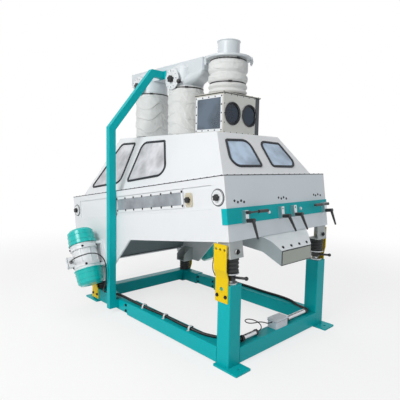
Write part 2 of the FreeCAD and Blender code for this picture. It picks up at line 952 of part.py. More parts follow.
def clamp_blocks():
    blocks = []
    for x in clamp_places:
        low = vec(x - clamp_width / 2, -band_thick - clamp_proud, -clamp_bottom)
        high = vec(x + clamp_width / 2, -band_thick, -clamp_top)
        block = box(low, high)
        hub = clamp_face(x, clamp_bottom - lever_hub_radius - lever_hub_edge)
        stem_radius = knob_stem_radius + running_clearance
        block = block.cut(cylinder(hub, hub + ALONG * clamp_proud, stem_radius))
        hinge = clamp_face(x, clamp_top + handle_hub_radius + handle_hub_edge)
        rod_radius = handle_rod_radius + running_clearance
        block = block.cut(cylinder(hinge, hinge + ALONG * clamp_proud, rod_radius))
        blocks.append(block)
    for x in band_bolt_places:
        blocks.append(bolt(vec(x, -band_thick, -(band_top + band_bottom) / 2), -ALONG))
    return lean(Part.makeCompound(blocks))


def clamp_lever(place):
    # A ratchet clamping lever: a long hub on its stud and a tapered arm that hangs from its outer end.
    x = clamp_places[place]
    face = clamp_face(x, clamp_bottom - lever_hub_radius - lever_hub_edge) - ALONG * knob_gap
    hub = cylinder(face, face - ALONG * lever_hub_height, lever_hub_radius)
    stud = cylinder(face, face + ALONG * (clamp_proud * stud_share), knob_stem_radius)
    turn = FreeCAD.Rotation(ALONG, -lever_angles[place])
    along_arm = turn.multVec(ACROSS)
    root = face - ALONG * (lever_hub_height - lever_root)
    tip = root + along_arm * lever_reach - ALONG * lever_splay
    arm_axis = tip - root
    arm = Part.makeCone(lever_root, lever_tip, arm_axis.Length, root, arm_axis)
    end = Part.makeSphere(lever_tip, tip)
    return lean(fuse([hub, stud, arm, end]))


def gate_handle(x, direction):
    # A crank handle: hub in the clamp block, bent rod and a black grip that points inward.
    pivot = clamp_face(x, clamp_top + handle_hub_radius + handle_hub_edge) - ALONG * knob_gap
    hub = cylinder(pivot, pivot - ALONG * handle_standoff, handle_hub_radius)
    stud = cylinder(pivot, pivot + ALONG * (clamp_proud * stud_share), handle_rod_radius)
    inward = ACROSS * direction
    start = pivot - ALONG * (handle_standoff - handle_rod_radius)
    end = start + inward * handle_reach
    rod = cylinder(start, end, handle_rod_radius)
    grip = cylinder(end - inward * handle_grip_length, end, handle_grip_radius)
    grip_end = Part.makeSphere(handle_grip_radius, end)
    return lean(fuse([hub, stud, rod, grip, grip_end]))


def spout_profile(back_y, wall):
    # Side outline of the stone spout, drawn from the casing out to the mouth.
    return [
        (back_y, spout_top_z - wall),
        (spout_mouth_y + wall + 45, spout_top_z - wall - 18),
        (spout_mouth_y + wall, spout_lip_z - wall * 0.4),
        (spout_mouth_y + wall, spout_bottom_z),
        (spout_throat_y - wall, spout_bottom_z),
        (spout_throat_y - wall, spout_throat_z - 24),
        (back_y, spout_throat_z + wall),
    ]


def spout_solid(wall):
    back_y = on_casing(0, casing_depth)[0]
    profile = [vec(-spout_back_half, y, z) for y, z in spout_profile(back_y, wall)]
    radii = [0, 40, 8, 0, 0, 12, 0]
    side = Part.Face(rounded_wire(profile, radii)).extrude(ACROSS * (2 * spout_back_half))
    low = spout_bottom_z - 1
    plan = [
        vec(-spout_back_half + wall, back_y, low),
        vec(spout_back_half - wall, back_y, low),
        vec(spout_mouth_half - wall, spout_mouth_y + wall, low),
        vec(-spout_mouth_half + wall, spout_mouth_y + wall, low),
    ]
    return side.common(prism(plan, UP * (spout_top_z - low + 1)))


def stone_spout():
    shell = spout_solid(0).cut(spout_solid(spout_wall))
    flange = box(
        vec(-spout_back_half, -spout_wall, -casing_depth),
        vec(spout_back_half, 0, -casing_depth + spout_flange),
    )
    return fuse([shell, lean(flange)])


def deck(down):
    # A deck drawer: side and cross rails with the screen on top.
    half = panel_inner - deck_side_gap
    middle = vec(0, (deck_near + deck_far) / 2, -down - deck_rail)
    outer = prism(rectangle(middle, ACROSS, ALONG, 2 * half, deck_far - deck_near), UP * deck_rail)
    cells = []
    bay = (deck_far - deck_near - deck_rail) / 4
    for i in range(4):
        near = deck_near + deck_rail + i * bay
        for side in (-1, 1):
            inner = min(0, side * (half - deck_rail))
            reach = max(0, side * (half - deck_rail))
            low = vec(inner + deck_rail / 2, near, -down - deck_rail)
            high = vec(reach - deck_rail / 2, near + bay - deck_rail, -down - deck_screen)
            cells.append(box(low, high))
    drawer = outer.cut(Part.makeCompound(cells))
    side_strip = box(vec(-panel_inner, deck_near, -down - deck_rail), vec(-half, deck_far, -down - deck_rail / 2))
    return lean(fuse([drawer] + both_sides(side_strip)))


def rear_cover():
    # The top ledge past the hood and the rear wall under it.
    ledge = box(vec(-panel_inner, hood_far, -rear_sheet), vec(panel_inner, casing_length, 0))
    wall = box(vec(-panel_inner, casing_length - rear_sheet, -casing_depth), vec(panel_inner, casing_length, 0))
    return lean(fuse([ledge, wall]))


def chute_outline(wall):
    front_top = on_casing(chute_neck, casing_depth - 40)
    rear_top = on_casing(casing_length - rear_sheet, casing_depth)
    return [
        (front_top[0] + wall, front_top[1]),
        (chute_front_y + wall, chute_bottom_z),
        (chute_rear_y - wall, chute_bottom_z),
        (rear_top[0] - wall, rear_top[1]),
    ]


def grain_chute():
    outer = prism([vec(-panel_inner, y, z) for y, z in chute_outline(0)], ACROSS * (2 * panel_inner))
    inner_half = panel_inner - chute_wall
    inner = prism([vec(-inner_half, y, z) for y, z in chute_outline(chute_wall)], ACROSS * (2 * inner_half))
    lug_axis = vec(0, chute_front_y - flap_hinge_radius, chute_bottom_z - flap_hinge_radius)
    lugs = []
    for side in (-1, 1):
        start = lug_axis + ACROSS * (side * (panel_inner - 60))
        end = lug_axis + ACROSS * (side * (panel_inner - 30))
        lug = cylinder(start, end, flap_hinge_radius)
        web = box(
            vec(min(start.x, end.x), chute_front_y - flap_hinge_radius, chute_bottom_z - flap_hinge_radius),
            vec(max(start.x, end.x), chute_front_y + 2, chute_bottom_z + 14),
        )
        bore = cylinder(start, end, flap_pin_radius + flap_run)
        keep_clear = cylinder(start, end, flap_hinge_radius)
        lugs.append(fuse([lug, web.cut(keep_clear)]).cut(bore))
    return fuse([outer.cut(inner)] + lugs)


def grain_flap():
    # A flap that closes the chute's mouth and swings down on its hinge.
    axis = vec(0, chute_front_y - flap_hinge_radius, chute_bottom_z - flap_hinge_radius)
    half = panel_inner - 62
    knuckle = cylinder(axis - ACROSS * half, axis + ACROSS * half, flap_hinge_radius - 1)
    pin = cylinder(axis - ACROSS * (panel_inner - 32), axis + ACROSS * (panel_inner - 32), flap_pin_radius)
    top = chute_bottom_z - flap_gap
    plate = box(vec(-half, axis.y, top - flap_thick), vec(half, chute_rear_y, top))
    return fuse([knuckle, pin, plate])


# Hood


def hood_corners():
    near_y, near_z = on_casing(hood_inset, 0)
    far_y, far_z = on_casing(hood_far, 0)
    base_half = casing_half - hood_inset
    near_base = vec(-base_half, near_y, near_z)
    far_base = vec(-base_half, far_y, far_z)
    near_top = vec(-hood_top_half, hood_top_near_y, hood_top_z)
    normal = (far_base - near_base).cross(near_top - near_base).normalize()
    # The far top corner lies in the same flat side sheet as the other three.
    lift = vec(0, hood_top_far_y, hood_top_z) - near_base
    far_top_x = near_base.x - (normal.y * lift.y + normal.z * lift.z) / normal.x + 0.0
    far_top = vec(far_top_x, hood_top_far_y, hood_top_z)
    return near_base, far_base, near_top, far_top, normal


def opposite(point):
    return vec(-point.x, point.y, point.z)


def polyhedron(faces):
    shells = [Part.Face(Part.makePolygon(list(corners) + [corners[0]])) for corners in faces]
    return Part.Solid(Part.Shell(shells))


def hood_solid(inset):
    # The frustum of the hood, with every sheet moved inward by inset.
    near_base, far_base, near_top, far_top, normal = hood_corners()
    near_normal = (opposite(near_base) - near_base).cross(near_top - near_base).normalize()
    far_normal = (far_top - far_base).cross(opposite(far_base) - far_base).normalize()
    base_normal = (far_base - near_base).cross(opposite(near_base) - near_base).normalize()
    planes = {
        "side": (near_base, normal),
        "near": (near_base, near_normal),
        "far": (far_base, far_normal),
        "base": (near_base, base_normal),
        "top": (near_top, UP),
    }
    middle = vec(0, (near_top.y + far_top.y) / 2, (near_top.z + near_base.z) / 2)
    moved = {}
    for name, (point, direction) in planes.items():
        inward = direction if (middle - point).dot(direction) > 0 else direction * -1
        moved[name] = (point + inward * (inset if name != "base" else 0), direction)

    def meet(names):
        rows = [moved[name] for name in names]
        n = [row[1] for row in rows]
        d = [row[0].dot(row[1]) for row in rows]
        bottom = n[0].dot(n[1].cross(n[2]))
        return (n[1].cross(n[2]) * d[0] + n[2].cross(n[0]) * d[1] + n[0].cross(n[1]) * d[2]) * (1 / bottom)

    a = meet(("side", "near", "base"))
    b = meet(("side", "far", "base"))
    c = meet(("side", "far", "top"))
    d = meet(("side", "near", "top"))
    oa, ob, oc, od = (opposite(p) for p in (a, b, c, d))
    return polyhedron([(a, b, c, d), (oa, ob, oc, od), (a, oa, od, d), (b, ob, oc, c), (d, c, oc, od), (a, b, ob, oa)])


def on_side_sheet(y, z):
    near_base, far_base, near_top, far_top, normal = hood_corners()
    lift = vec(0, y, z) - near_base
    return vec(near_base.x - (normal.y * lift.y + normal.z * lift.z) / normal.x, y, z)


def on_front_sheet(x, z):
    near_base, far_base, near_top, far_top, normal = hood_corners()
    share = (z - near_base.z) / (near_top.z - near_base.z)
    return vec(x, near_base.y + (near_top.y - near_base.y) * share, z)


def inset_outline(points, distance):
    normal = (points[1] - points[0]).cross(points[2] - points[1]).normalize()
    moved = []
    count = len(points)
    for i in range(count):
        before = (points[i] - points[i - 1]).normalize()
        after = (points[(i + 1) % count] - points[i]).normalize()
        inward_before = normal.cross(before)
        inward_after = normal.cross(after)
        middle = (inward_before + inward_after).normalize()
        moved.append(points[i] + middle * (distance / middle.dot(inward_before)))
    return moved


def window_outlines():
    # Each window as its corners and their radii; two opposite corners are wide arcs.
    wide_second = (small_corner, large_corner, small_corner, large_corner)
    wide_first = (small_corner, large_corner, small_corner, large_corner)
    windows = []
    for corners in (side_window_near, side_window_far):
        left = [on_side_sheet(y, z) for y, z in corners]
        windows.append((left, wide_first))
        windows.append(([opposite(p) for p in left], wide_first))
    for corners in (front_window_left, front_window_right):
        windows.append(([on_front_sheet(x, z) for x, z in corners], wide_second))
    return windows


def outline_normal(points):
    normal = (points[1] - points[0]).cross(points[2] - points[1]).normalize()
    outward = vec(points[0].x, points[0].y - near_duct_y, points[0].z - casing_front_z + 300)
    return normal if normal.dot(outward) > 0 else normal * -1


def window_prism(points, radii, inset, outside, inside):
    shrunk = inset_outline(points, inset) if inset else points
    normal = outline_normal(points)
    tight = [max(r - inset, 2.0) for r in radii]
    wire = rounded_wire([p + normal * outside for p in shrunk], tight)
    return Part.Face(wire).extrude(normal * -(outside + inside))


def hood():
    shell = hood_solid(0).cut(hood_solid(hood_wall))
    for points, radii in window_outlines():
        shell = shell.cut(window_prism(points, radii, gasket_width / 2, 20, 20))
    low = hood_top_z - hood_wall
    for y in (near_duct_y, far_duct_y):
        foot = vec(0, y, low)
        collar_top = vec(0, y, hood_top_z + collar_height)
        shell = shell.fuse(cylinder(foot, collar_top, collar_radius))
        shell = shell.cut(cylinder(foot - UP, collar_top + UP, collar_radius - hood_wall))
    mouth_low = vec(-box_half + 2 * box_wall, box_near_y + 2 * box_wall, low - 1)
    mouth_high = vec(box_half - 2 * box_wall, box_far_y - 2 * box_wall, hood_top_z + 1)
    return shell.cut(box(mouth_low, mouth_high)).removeSplitter()


def window_gaskets():
    # Rubber profiles: each grips the sheet's edge outside and inside and holds the pane.
    rings = []
    edge = gasket_width / 2
    for points, radii in window_outlines():
        outer_lip = window_prism(points, radii, 0, gasket_proud, 0)
        inner = window_prism(points, radii, edge, 0, hood_wall)
        inner_lip = window_prism(points, radii, 0, -hood_wall, hood_wall + gasket_proud)
        hole = window_prism(points, radii, gasket_width, gasket_proud + 1, hood_wall + gasket_proud + 1)
        rings.append(fuse([outer_lip, inner, inner_lip]).cut(hole))
    for x in port_places:
        face = vec(x, box_near_y - face_plate_thick, port_z)
        rings.append(ring(face, face - ALONG * gasket_proud, port_radius + port_ring, port_radius))
    return Part.makeCompound(rings)


def box_window():
    near = box_near_y + box_window_margin
    far = box_far_y - box_window_margin
    middle = vec(-box_half, (near + far) / 2, (box_window_bottom + box_window_top) / 2)
    return rectangle(middle, ALONG, UP, far - near, box_window_top - box_window_bottom)


def window_panes():
    panes = []
    for points, radii in window_outlines():
        middle_depth = hood_wall / 2
        outside = pane_thick / 2 - middle_depth
        panes.append(window_prism(points, radii, gasket_width, outside, pane_thick - outside))
    panes.append(prism(box_window(), ACROSS * box_wall))
    for x in port_places:
        face = vec(x, box_near_y - face_plate_thick, port_z)
        panes.append(cylinder(face, face + ALONG * (face_plate_thick + box_wall), port_radius))
    return Part.makeCompound(panes)


def head_box():
    outer = box(vec(-box_half, box_near_y, hood_top_z), vec(box_half, box_far_y, box_top_z))
    inner_low = vec(-box_half + box_wall, box_near_y + box_wall, hood_top_z)
    inner_high = vec(box_half - box_wall, box_far_y - box_wall, box_top_z - box_wall)
    shell = outer.cut(box(inner_low, inner_high))
    plate = box(
        vec(-box_half, box_near_y - face_plate_thick, hood_top_z + 1),
        vec(face_plate_right, box_near_y, box_top_z),
    )
    over = box_lid_overhang
    lid = box(
        vec(-box_half - over, box_near_y - face_plate_thick - over, box_top_z),
        vec(box_half + over, box_far_y + over, box_top_z + box_lid_thick),
    )
    foot = vec(0, inlet_y, box_top_z)
    collar = cylinder(foot, vec(0, inlet_y, box_collar_top), inlet_collar_radius)
    body = fuse([shell, plate, lid, collar])
    cuts = [cylinder(foot - UP * 20, vec(0, inlet_y, box_collar_top + 1), inlet_collar_radius - box_wall)]
    cuts.append(prism(box_window(), ACROSS * box_wall))
    for x in port_places:
        start = vec(x, box_near_y - face_plate_thick, port_z)
        cuts.append(cylinder(start, start + ALONG * (face_plate_thick + box_wall), port_radius))
    pin = gate_pin_radius + running_clearance
    cuts.append(cylinder(vec(-box_half, gate_hinge_y, gate_hinge_z), vec(box_half, gate_hinge_y, gate_hinge_z), pin))
    return body.cut(Part.makeCompound(cuts))


def feed_gate():
    # A sprung flap across the head box that spreads the feed over the decks' width.
    axis = vec(0, gate_hinge_y, gate_hinge_z)
    half = box_half - box_wall - gate_side_gap
    turn = FreeCAD.Rotation(ACROSS, gate_slope)
    down_slope = turn.multVec(ALONG)
    up_slope = turn.multVec(UP)
    start = axis - ACROSS * half - up_slope * (gate_thick / 2)
    corners = [start, start + ACROSS * (2 * half)]
    corners.append(corners[1] + down_slope * gate_length)
    corners.append(corners[0] + down_slope * gate_length)
    plate = prism(corners, up_slope * gate_thick)
    pin = cylinder(axis - ACROSS * box_half, axis + ACROSS * box_half, gate_pin_radius)
    return fuse([plate, pin])


# Spring brackets, springs and motors


def spring_brackets():
    brackets = []
    outer = -panel_inner
    inner = -spring_x + seat_radius + 4
    depth = 2 * spring_inset - 6
    low = box(
        vec(outer, front_sheet + 1, -casing_depth - 120),
        vec(inner, front_sheet + depth, -casing_depth + 60),
    )
    front = lean(low)
    keep = box(vec(outer, -half_length - 60, front_spring_top), vec(inner, 0, casing_front_z))
    front = front.common(keep)
    cavity = front.copy()
    cavity.translate(vec(5, 8, 6))
    front = front.cut(cavity)
    hole_middle = vec((outer + inner) / 2, -half_length - 60, front_spring_top + 34)
    front = front.cut(cylinder(hole_middle, hole_middle + ALONG * 200, 10))
    brackets.extend(both_sides(front))
    near = rear_spring_y - seat_radius - 4
    far = rear_spring_y + seat_radius + 4
    outline = [
        vec(outer, near, rear_spring_top),
        vec(inner, near, rear_spring_top),
        vec(inner, near, rear_spring_top + 60),
        vec(outer + 30, near, rear_spring_top + 118),
        vec(outer, near, rear_spring_top + 118),
    ]
    rear = prism(outline, ALONG * (far - near), 4)
    hollow = box(vec(outer + 6, near + 6, rear_spring_top + 8), vec(inner, far - 6, rear_spring_top + 140))
    brackets.extend(both_sides(rear.cut(hollow)))
    return Part.makeCompound(brackets)


def rubber_spring(foot, height):
    # A rubber column with rounded ribs between two end discs.
    core = spring_radius - spring_rib
    pitch = height / spring_ribs
    profile = [(0, 0), (core, 0)]
    for i in range(spring_ribs):
        base = i * pitch
        profile.append((core, base + 0.12 * pitch))
        profile.append((spring_radius, base + 0.3 * pitch))
        profile.append((spring_radius, base + 0.7 * pitch))
        profile.append((core, base + 0.88 * pitch))
    profile.append((core, height))
    profile.append((0, height))
    return revolve(profile, foot)


def front_springs():
    spring = rubber_spring(vec(-spring_x, front_spring_y, front_spring_bottom), front_spring_height)
    return Part.makeCompound(both_sides(spring))


def rear_springs():
    spring = rubber_spring(vec(-spring_x, rear_spring_y, beam_top), rear_spring_height)
    return Part.makeCompound(both_sides(spring))


def place_motor(shape):
    # Moves a shape from the motor's own axes, with its shaft on Z, to the left side of the casing.
    placed = shape.copy()
    placed.rotate(vec(0, 0, 0), ACROSS, -motor_tilt)
    placed.translate(vec(-motor_x, motor_y, motor_z))
    return placed


def motor_body():
    half = motor_body_half
    parts = [cylinder(vec(0, 0, -half), vec(0, 0, half), motor_body_radius)]
    for end in (-1, 1):
        start = vec(0, 0, end * half)
        parts.append(cylinder(start, start - UP * (end * motor_ring_width), motor_ring_radius))
    rib_half = half - motor_ring_width
    for i in range(motor_ribs):
        turn = FreeCAD.Rotation(UP, 360.0 * i / motor_ribs)
        outward = turn.multVec(ACROSS)
        side = turn.multVec(ALONG)
        reach = motor_body_radius + motor_rib_height
        foot = outward * (reach / 2) - UP * rib_half
        parts.append(prism(rectangle(foot, outward, side, reach, motor_rib_width), UP * (2 * rib_half)))
    plate_face = motor_x - casing_half
    foot_plate = box(
        vec(plate_face - motor_foot_thick, -motor_foot_half, -half),
        vec(plate_face, motor_foot_half, half),
    )
    parts.append(foot_plate)
    for end in (-1, 1):
        low = min(end * half, end * (half - motor_web))
        web = box(vec(0, -motor_foot_half + 12, low), vec(plate_face, motor_foot_half - 12, low + motor_web))
        parts.append(web)
    turn = FreeCAD.Rotation(UP, terminal_angle)
    outward = turn.multVec(ACROSS)
    side = turn.multVec(ALONG)
    middle = outward * terminal_radius - UP * (terminal_drop + terminal_size / 2)
    parts.append(prism(rectangle(middle, outward, side, terminal_height, terminal_size), UP * terminal_size, 6))
    neck_middle = outward * (motor_body_radius - 6) - UP * (terminal_drop + terminal_size / 2 - 10)
    parts.append(prism(rectangle(neck_middle, outward, side, 40, terminal_size - 20), UP * (terminal_size - 20)))
    face = outward * terminal_radius + side * (terminal_size / 2) - UP * terminal_drop
    parts.append(cylinder(face, face + side * gland_length, gland_radius))
    body = fuse(parts)
    bore = rotor_shaft_radius + motor_bore_clearance
    return body.cut(cylinder(vec(0, 0, -half), vec(0, 0, half), bore))


def motor_bodies():
    return Part.makeCompound(both_sides(place_motor(motor_body())))


def motor_caps():
    # Deep drawn end caps over the eccentric weights.
    start = motor_body_half
    end = start + motor_cap_length
    taper = motor_cap_radius - 6
    wall = motor_cap_wall
    outer = [(0, end), (taper - motor_cap_round, end), (taper, end - motor_cap_round), (motor_cap_radius, start), (0, start)]
    inner_end = end - wall
    inner = [
        (0, inner_end),
        (taper - motor_cap_round, inner_end),
        (taper - wall, end - motor_cap_round),
        (motor_cap_radius - wall, start),
        (0, start),
    ]
    cap = revolve(outer, vec(0, 0, 0)).cut(revolve(inner, vec(0, 0, 0)))
    other = cap.mirror(vec(0, 0, 0), UP)
    caps = []
    for piece in (cap, other):
        caps.extend(both_sides(place_motor(piece)))
    return Part.makeCompound(caps)


def rotor():
    # The motor shaft with a half-moon weight at each end.
    reach = motor_body_half + rotor_weight_gap + rotor_weight_thick + 12
    parts = [cylinder(vec(0, 0, -reach), vec(0, 0, reach), rotor_shaft_radius)]
    for end in (-1, 1):
        near = motor_body_half + rotor_weight_gap
        low = near if end > 0 else -near - rotor_weight_thick
        disc = cylinder(vec(0, 0, low), vec(0, 0, low + rotor_weight_thick), rotor_weight_radius)
        half_plane = box(
            vec(-rotor_weight_radius, 0, low),
            vec(rotor_weight_radius, rotor_weight_radius, low + rotor_weight_thick),
        )
        parts.append(disc.common(half_plane))
        parts.append(cylinder(vec(0, 0, low), vec(0, 0, low + rotor_weight_thick), rotor_shaft_radius + 12))
    return place_motor(fuse(parts))


# Electrical fittings


def bent_rod(points, radius, name):
    # Straight runs joined by tangent arcs, each as large as its two runs allow.
    edges = []
    last = points[0]
    tightest = None
    for i in range(1, len(points) - 1):
        corner = points[i]
        before = points[i - 1] - corner
        after = points[i + 1] - corner
        shorter = min(before.Length, after.Length)
        half = before.getAngle(after) / 2
        turn_half = math.pi / 2 - half
        bend = 0.45 * shorter / math.tan(turn_half)
        tangent = 0.45 * shorter
        u = before.normalize()
        v = after.normalize()
        middle = (u + v).normalize()
        centre = corner + middle * (bend / math.sin(half))
        start = corner + u * tangent
        end = corner + v * tangent
        edges.append(Part.LineSegment(last, start).toShape())
        edges.append(Part.Arc(start, centre - middle * bend, end).toShape())
        last = end
        tightest = bend if tightest is None else min(tightest, bend)
    edges.append(Part.LineSegment(last, points[-1]).toShape())
    wire = Part.Wire(edges)
    direction = points[1] - points[0]
    ring_wire = Part.Wire(Part.makeCircle(radius, points[0], direction))
    solid = wire.makePipeShell([ring_wire], True, False)
    wanted = math.pi * radius ** 2 * wire.Length
    print(name, "length", round(wire.Length), "tightest bend", round(tightest), "volume ratio", round(solid.Volume / wanted, 3))
    return solid


def junction_box():
    width = junction_right_x - junction_left_x
    depth = junction_far_y - junction_near_y
    middle = vec(
        (junction_left_x + junction_right_x) / 2,
        (junction_near_y + junction_far_y) / 2,
        beam_top,
    )
    body = prism(rectangle(middle, ACROSS, ALONG, width, depth), UP * (junction_height - 12), junction_corner)
    lid_middle = middle + UP * (junction_height - 12)
    lid = prism(rectangle(lid_middle, ACROSS, ALONG, width + 4, depth + 4), UP * 12, junction_corner)
    return fuse([body, lid])


left_hose_start = vec(left_hose_from, front_conduit_y, hose_z)
left_hose_end = vec(left_hose_to, front_conduit_y, hose_z)
right_hose_start = vec(right_hose_from, front_conduit_y, hose_z)
right_hose_end = vec(right_hose_to, front_conduit_y, hose_z)


def hose(start, end):
    # A metal hose with a black coupling on each end.
    run = (end - start).normalize()
    parts = [cylinder(start, end, hose_radius)]
    parts.append(cylinder(start, start + run * coupling_length, coupling_radius))
    parts.append(cylinder(end - run * coupling_length, end, coupling_radius))
    return fuse(parts)


def cable_conduits():
    # Black corrugated conduit along both rails and the metal hoses on the front beam.
    left_route = [
        vec(-456, 424, 112),
        vec(-434, 404, 107),
        vec(-430, 340, 107),
        vec(-434, 210, 107),
        vec(-436, 60, 107),
        vec(-425, -130, 107),
        vec(-434, -320, 107),
        vec(-426, -490, 107),
        vec(-396, -572, 108),
        vec(-370, -620, 112),
        vec(-361, -662, 115),
        vec(-345, front_conduit_y, hose_z),
        left_hose_start,
    ]
    right_route = [
        right_hose_end,
        vec(342, front_conduit_y, hose_z),
        vec(361, -662, 115),
        vec(370, -620, 112),
        vec(394, -564, 109),
        vec(436, -500, 107),
        vec(452, -400, 107),
        vec(445, -240, 107),
        vec(455, -60, 107),
        vec(452, 120, 107),
        vec(455, 270, 107),
        vec(470, 304, 112),
    ]
    link_start = vec(junction_right_x, front_conduit_y, hose_z)
    pieces = [
        bent_rod(left_route, conduit_radius, "left conduit"),
        bent_rod(right_route, conduit_radius, "right conduit"),
        hose(left_hose_start, left_hose_end),
        hose(right_hose_start, right_hose_end),
        cylinder(link_start, right_hose_start, conduit_radius),
    ]
    return Part.makeCompound(pieces)


def junction_cable():
    # The thin lead that loops out of the left hose and into the junction box.
    route = [
        left_hose_end,
        vec(-156, -684, 117),
        vec(-122, -668, 126),
        vec(-110, -632, 138),
        vec(-130, -600, 150),
        vec(-168, -588, 158),
        vec(-204, -602, 160),
        vec(-214, -638, 160),
        vec(-190, -666, 164),
        vec(-152, -674, 164),
        vec(-114, -680, 152),
        vec(-80, -684, 136),
        vec(junction_left_x, -684, 136),
    ]
    return bent_rod(route, junction_cable_radius, "junction cable")


def conduit_clips():
    # White saddle clips that hold the conduit down on the left rail.
    clips = []
    for y in clip_places:
        middle = vec(left_conduit_x, y, conduit_z)
        half = ALONG * (clip_width / 2)
        radius = conduit_radius + clip_wall + 7
        arch = cylinder(middle - half, middle + half, radius)
        foot = box(
            vec(left_conduit_x - radius - 8, y - clip_width / 2, beam_top),
            vec(left_conduit_x + radius + 8, y + clip_width / 2, beam_top + clip_wall),
        )
        bore = cylinder(middle - half, middle + half, radius - clip_wall)
        gap = box(
            vec(left_conduit_x - radius + clip_wall, y - clip_width / 2, beam_top),
            vec(left_conduit_x + radius - clip_wall, y + clip_width / 2, conduit_z),
        )
        floor = box(
            vec(left_conduit_x - 60, y - clip_width, foot_thick),
            vec(left_conduit_x + 60, y + clip_width, beam_top),
        )
        clips.append(fuse([arch, foot]).cut(bore).cut(gap).cut(floor))
    return Part.makeCompound(clips)


def left_motor_cable():
    route = [
        vec(-724.3, 561.3, 367.6),
        vec(-741.4, 519.4, 388.9),
        vec(-730, 474, 414),
        vec(-694, 440, 434),
        vec(-648, 418, 446),
        vec(-604, 394, 438),
        vec(-574, 372, 404),
        vec(-562, 362, 354),
        vec(-558, 362, 300),
        vec(-557, 370, 246),
        vec(-556, 392, 200),
        vec(-550, 422, 164),
        vec(-530, 454, 136),
        vec(-490, 455, 120),
        vec(-456, 424, 112),
    ]
    return bent_rod(route, cable_radius, "left motor cable")


def right_motor_cable():
    route = [
        vec(724.3, 561.3, 367.6),
        vec(741.4, 519.4, 388.9),
        vec(738, 474, 406),
        vec(704, 440, 404),
        vec(660, 420, 384),
        vec(622, 412, 346),
        vec(590, 412, 300),
        vec(564, 412, 252),
        vec(544, 408, 206),
        vec(522, 392, 160),
        vec(490, 349, 119),
        vec(470, 304, 112),
    ]
    return bent_rod(route, cable_radius, "right motor cable")


def build():
    left_panel = side_panel()
    rail = left_rail()
    left_rotor = rotor()
    return {
        "foot_plates": foot_plates(),
        "cross_beams": cross_beams(),
        "left_rail": rail,
        "right_rail": mirrored(rail),
        "rail_splices": rail_splices(),
        "front_columns": front_columns(),
        "spring_jacks": spring_jacks(),
        "left_lock_nut": lock_nut(-1),
        "right_lock_nut": lock_nut(1),
        "lock_plates": lock_plates(),
        "frame_bolts": frame_bolts(),
        "support_post": support_post(),
        "exhaust_trunk": exhaust_trunk(),
        "valve_index_plates": index_plates(),
        "near_duct_valve": duct_valve(near_duct_y),
        "far_duct_valve": duct_valve(far_duct_y),
        "inlet_pipe": inlet_pipe(),
        "junction_box": junction_box(),
        "cable_conduits": cable_conduits(),
        "junction_cable": junction_cable(),
        "conduit_clips": conduit_clips(),
        "left_side_panel": left_panel,
        "right_side_panel": mirrored(left_panel),
        "front_panel": front_panel(),
        "colour_band": colour_band(),
        "rear_cover": rear_cover(),
        "grain_chute": grain_chute(),
        "grain_flap": grain_flap(),
        "hood": hood(),
        "window_gaskets": window_gaskets(),
        "window_panes": window_panes(),
        "upper_deck": deck(upper_deck_down),
        "lower_deck": deck(lower_deck_down),
        "head_box": head_box(),
        "feed_gate": feed_gate(),
        "stone_spout": stone_spout(),
        "clamp_blocks": clamp_blocks(),
        "clamp_lever_1": clamp_lever(0),
        "clamp_lever_2": clamp_lever(1),
        "clamp_lever_3": clamp_lever(2),
        "clamp_lever_4": clamp_lever(3),
        "left_gate_handle": gate_handle(clamp_places[0], 1),
        "right_gate_handle": gate_handle(clamp_places[3], -1),
        "spring_brackets": spring_brackets(),
        "side_windows": side_windows(),
        "round_covers": round_covers(),
        "near_cover_knob": cover_knob(cover_near),
        "far_cover_knob": cover_knob(cover_far),
        "gauge_plate": gauge_plate(),
        "gauge_knob": gauge_knob(),
        "motor_bodies": motor_bodies(),
        "motor_caps": motor_caps(),
        "left_rotor": left_rotor,
        "right_rotor": mirrored(left_rotor),
        "front_springs": front_springs(),
        "rear_springs": rear_springs(),
        "inlet_sleeve": inlet_sleeve(),
        "duct_sleeves": duct_sleeves(),
        "left_motor_cable": left_motor_cable(),
        "right_motor_cable": right_motor_cable(),
    }


def export(parts):
    os.makedirs("parts", exist_ok=True)
    for name, shape in parts.items():
        solids = shape.Solids
        if not shape.isValid() or not solids:
            print("check the shape of", name)
        whole = solids[0] if len(solids) == 1 else Part.makeCompound(solids)
        whole.exportStep(os.path.join("parts", name + ".step"))
    print("nodes", len(parts), "solids", sum(len(shape.Solids) for shape in parts.values()))


export(build())
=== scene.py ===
import bpy
import bmesh
import math
from mathutils import Vector, Matrix, noise
from mathutils.geometry import tessellate_polygon


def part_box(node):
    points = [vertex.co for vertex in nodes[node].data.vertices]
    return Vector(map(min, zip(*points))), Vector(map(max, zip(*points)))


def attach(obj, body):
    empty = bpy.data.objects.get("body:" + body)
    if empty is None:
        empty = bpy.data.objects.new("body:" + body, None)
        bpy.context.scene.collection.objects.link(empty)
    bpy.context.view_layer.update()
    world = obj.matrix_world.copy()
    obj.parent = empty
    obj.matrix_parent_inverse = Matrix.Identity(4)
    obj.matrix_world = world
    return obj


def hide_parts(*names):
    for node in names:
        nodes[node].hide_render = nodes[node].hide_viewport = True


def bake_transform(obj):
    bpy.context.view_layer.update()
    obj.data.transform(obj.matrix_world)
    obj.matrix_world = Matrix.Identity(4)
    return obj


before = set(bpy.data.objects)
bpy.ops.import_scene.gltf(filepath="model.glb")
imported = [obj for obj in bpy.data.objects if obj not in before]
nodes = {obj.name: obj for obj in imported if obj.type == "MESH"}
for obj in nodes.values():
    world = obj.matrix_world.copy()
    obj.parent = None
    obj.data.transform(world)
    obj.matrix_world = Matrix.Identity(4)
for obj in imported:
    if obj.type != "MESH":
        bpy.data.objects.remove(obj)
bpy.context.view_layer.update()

# Directions and the casing's own axes: along the slope, down the side, out of the front

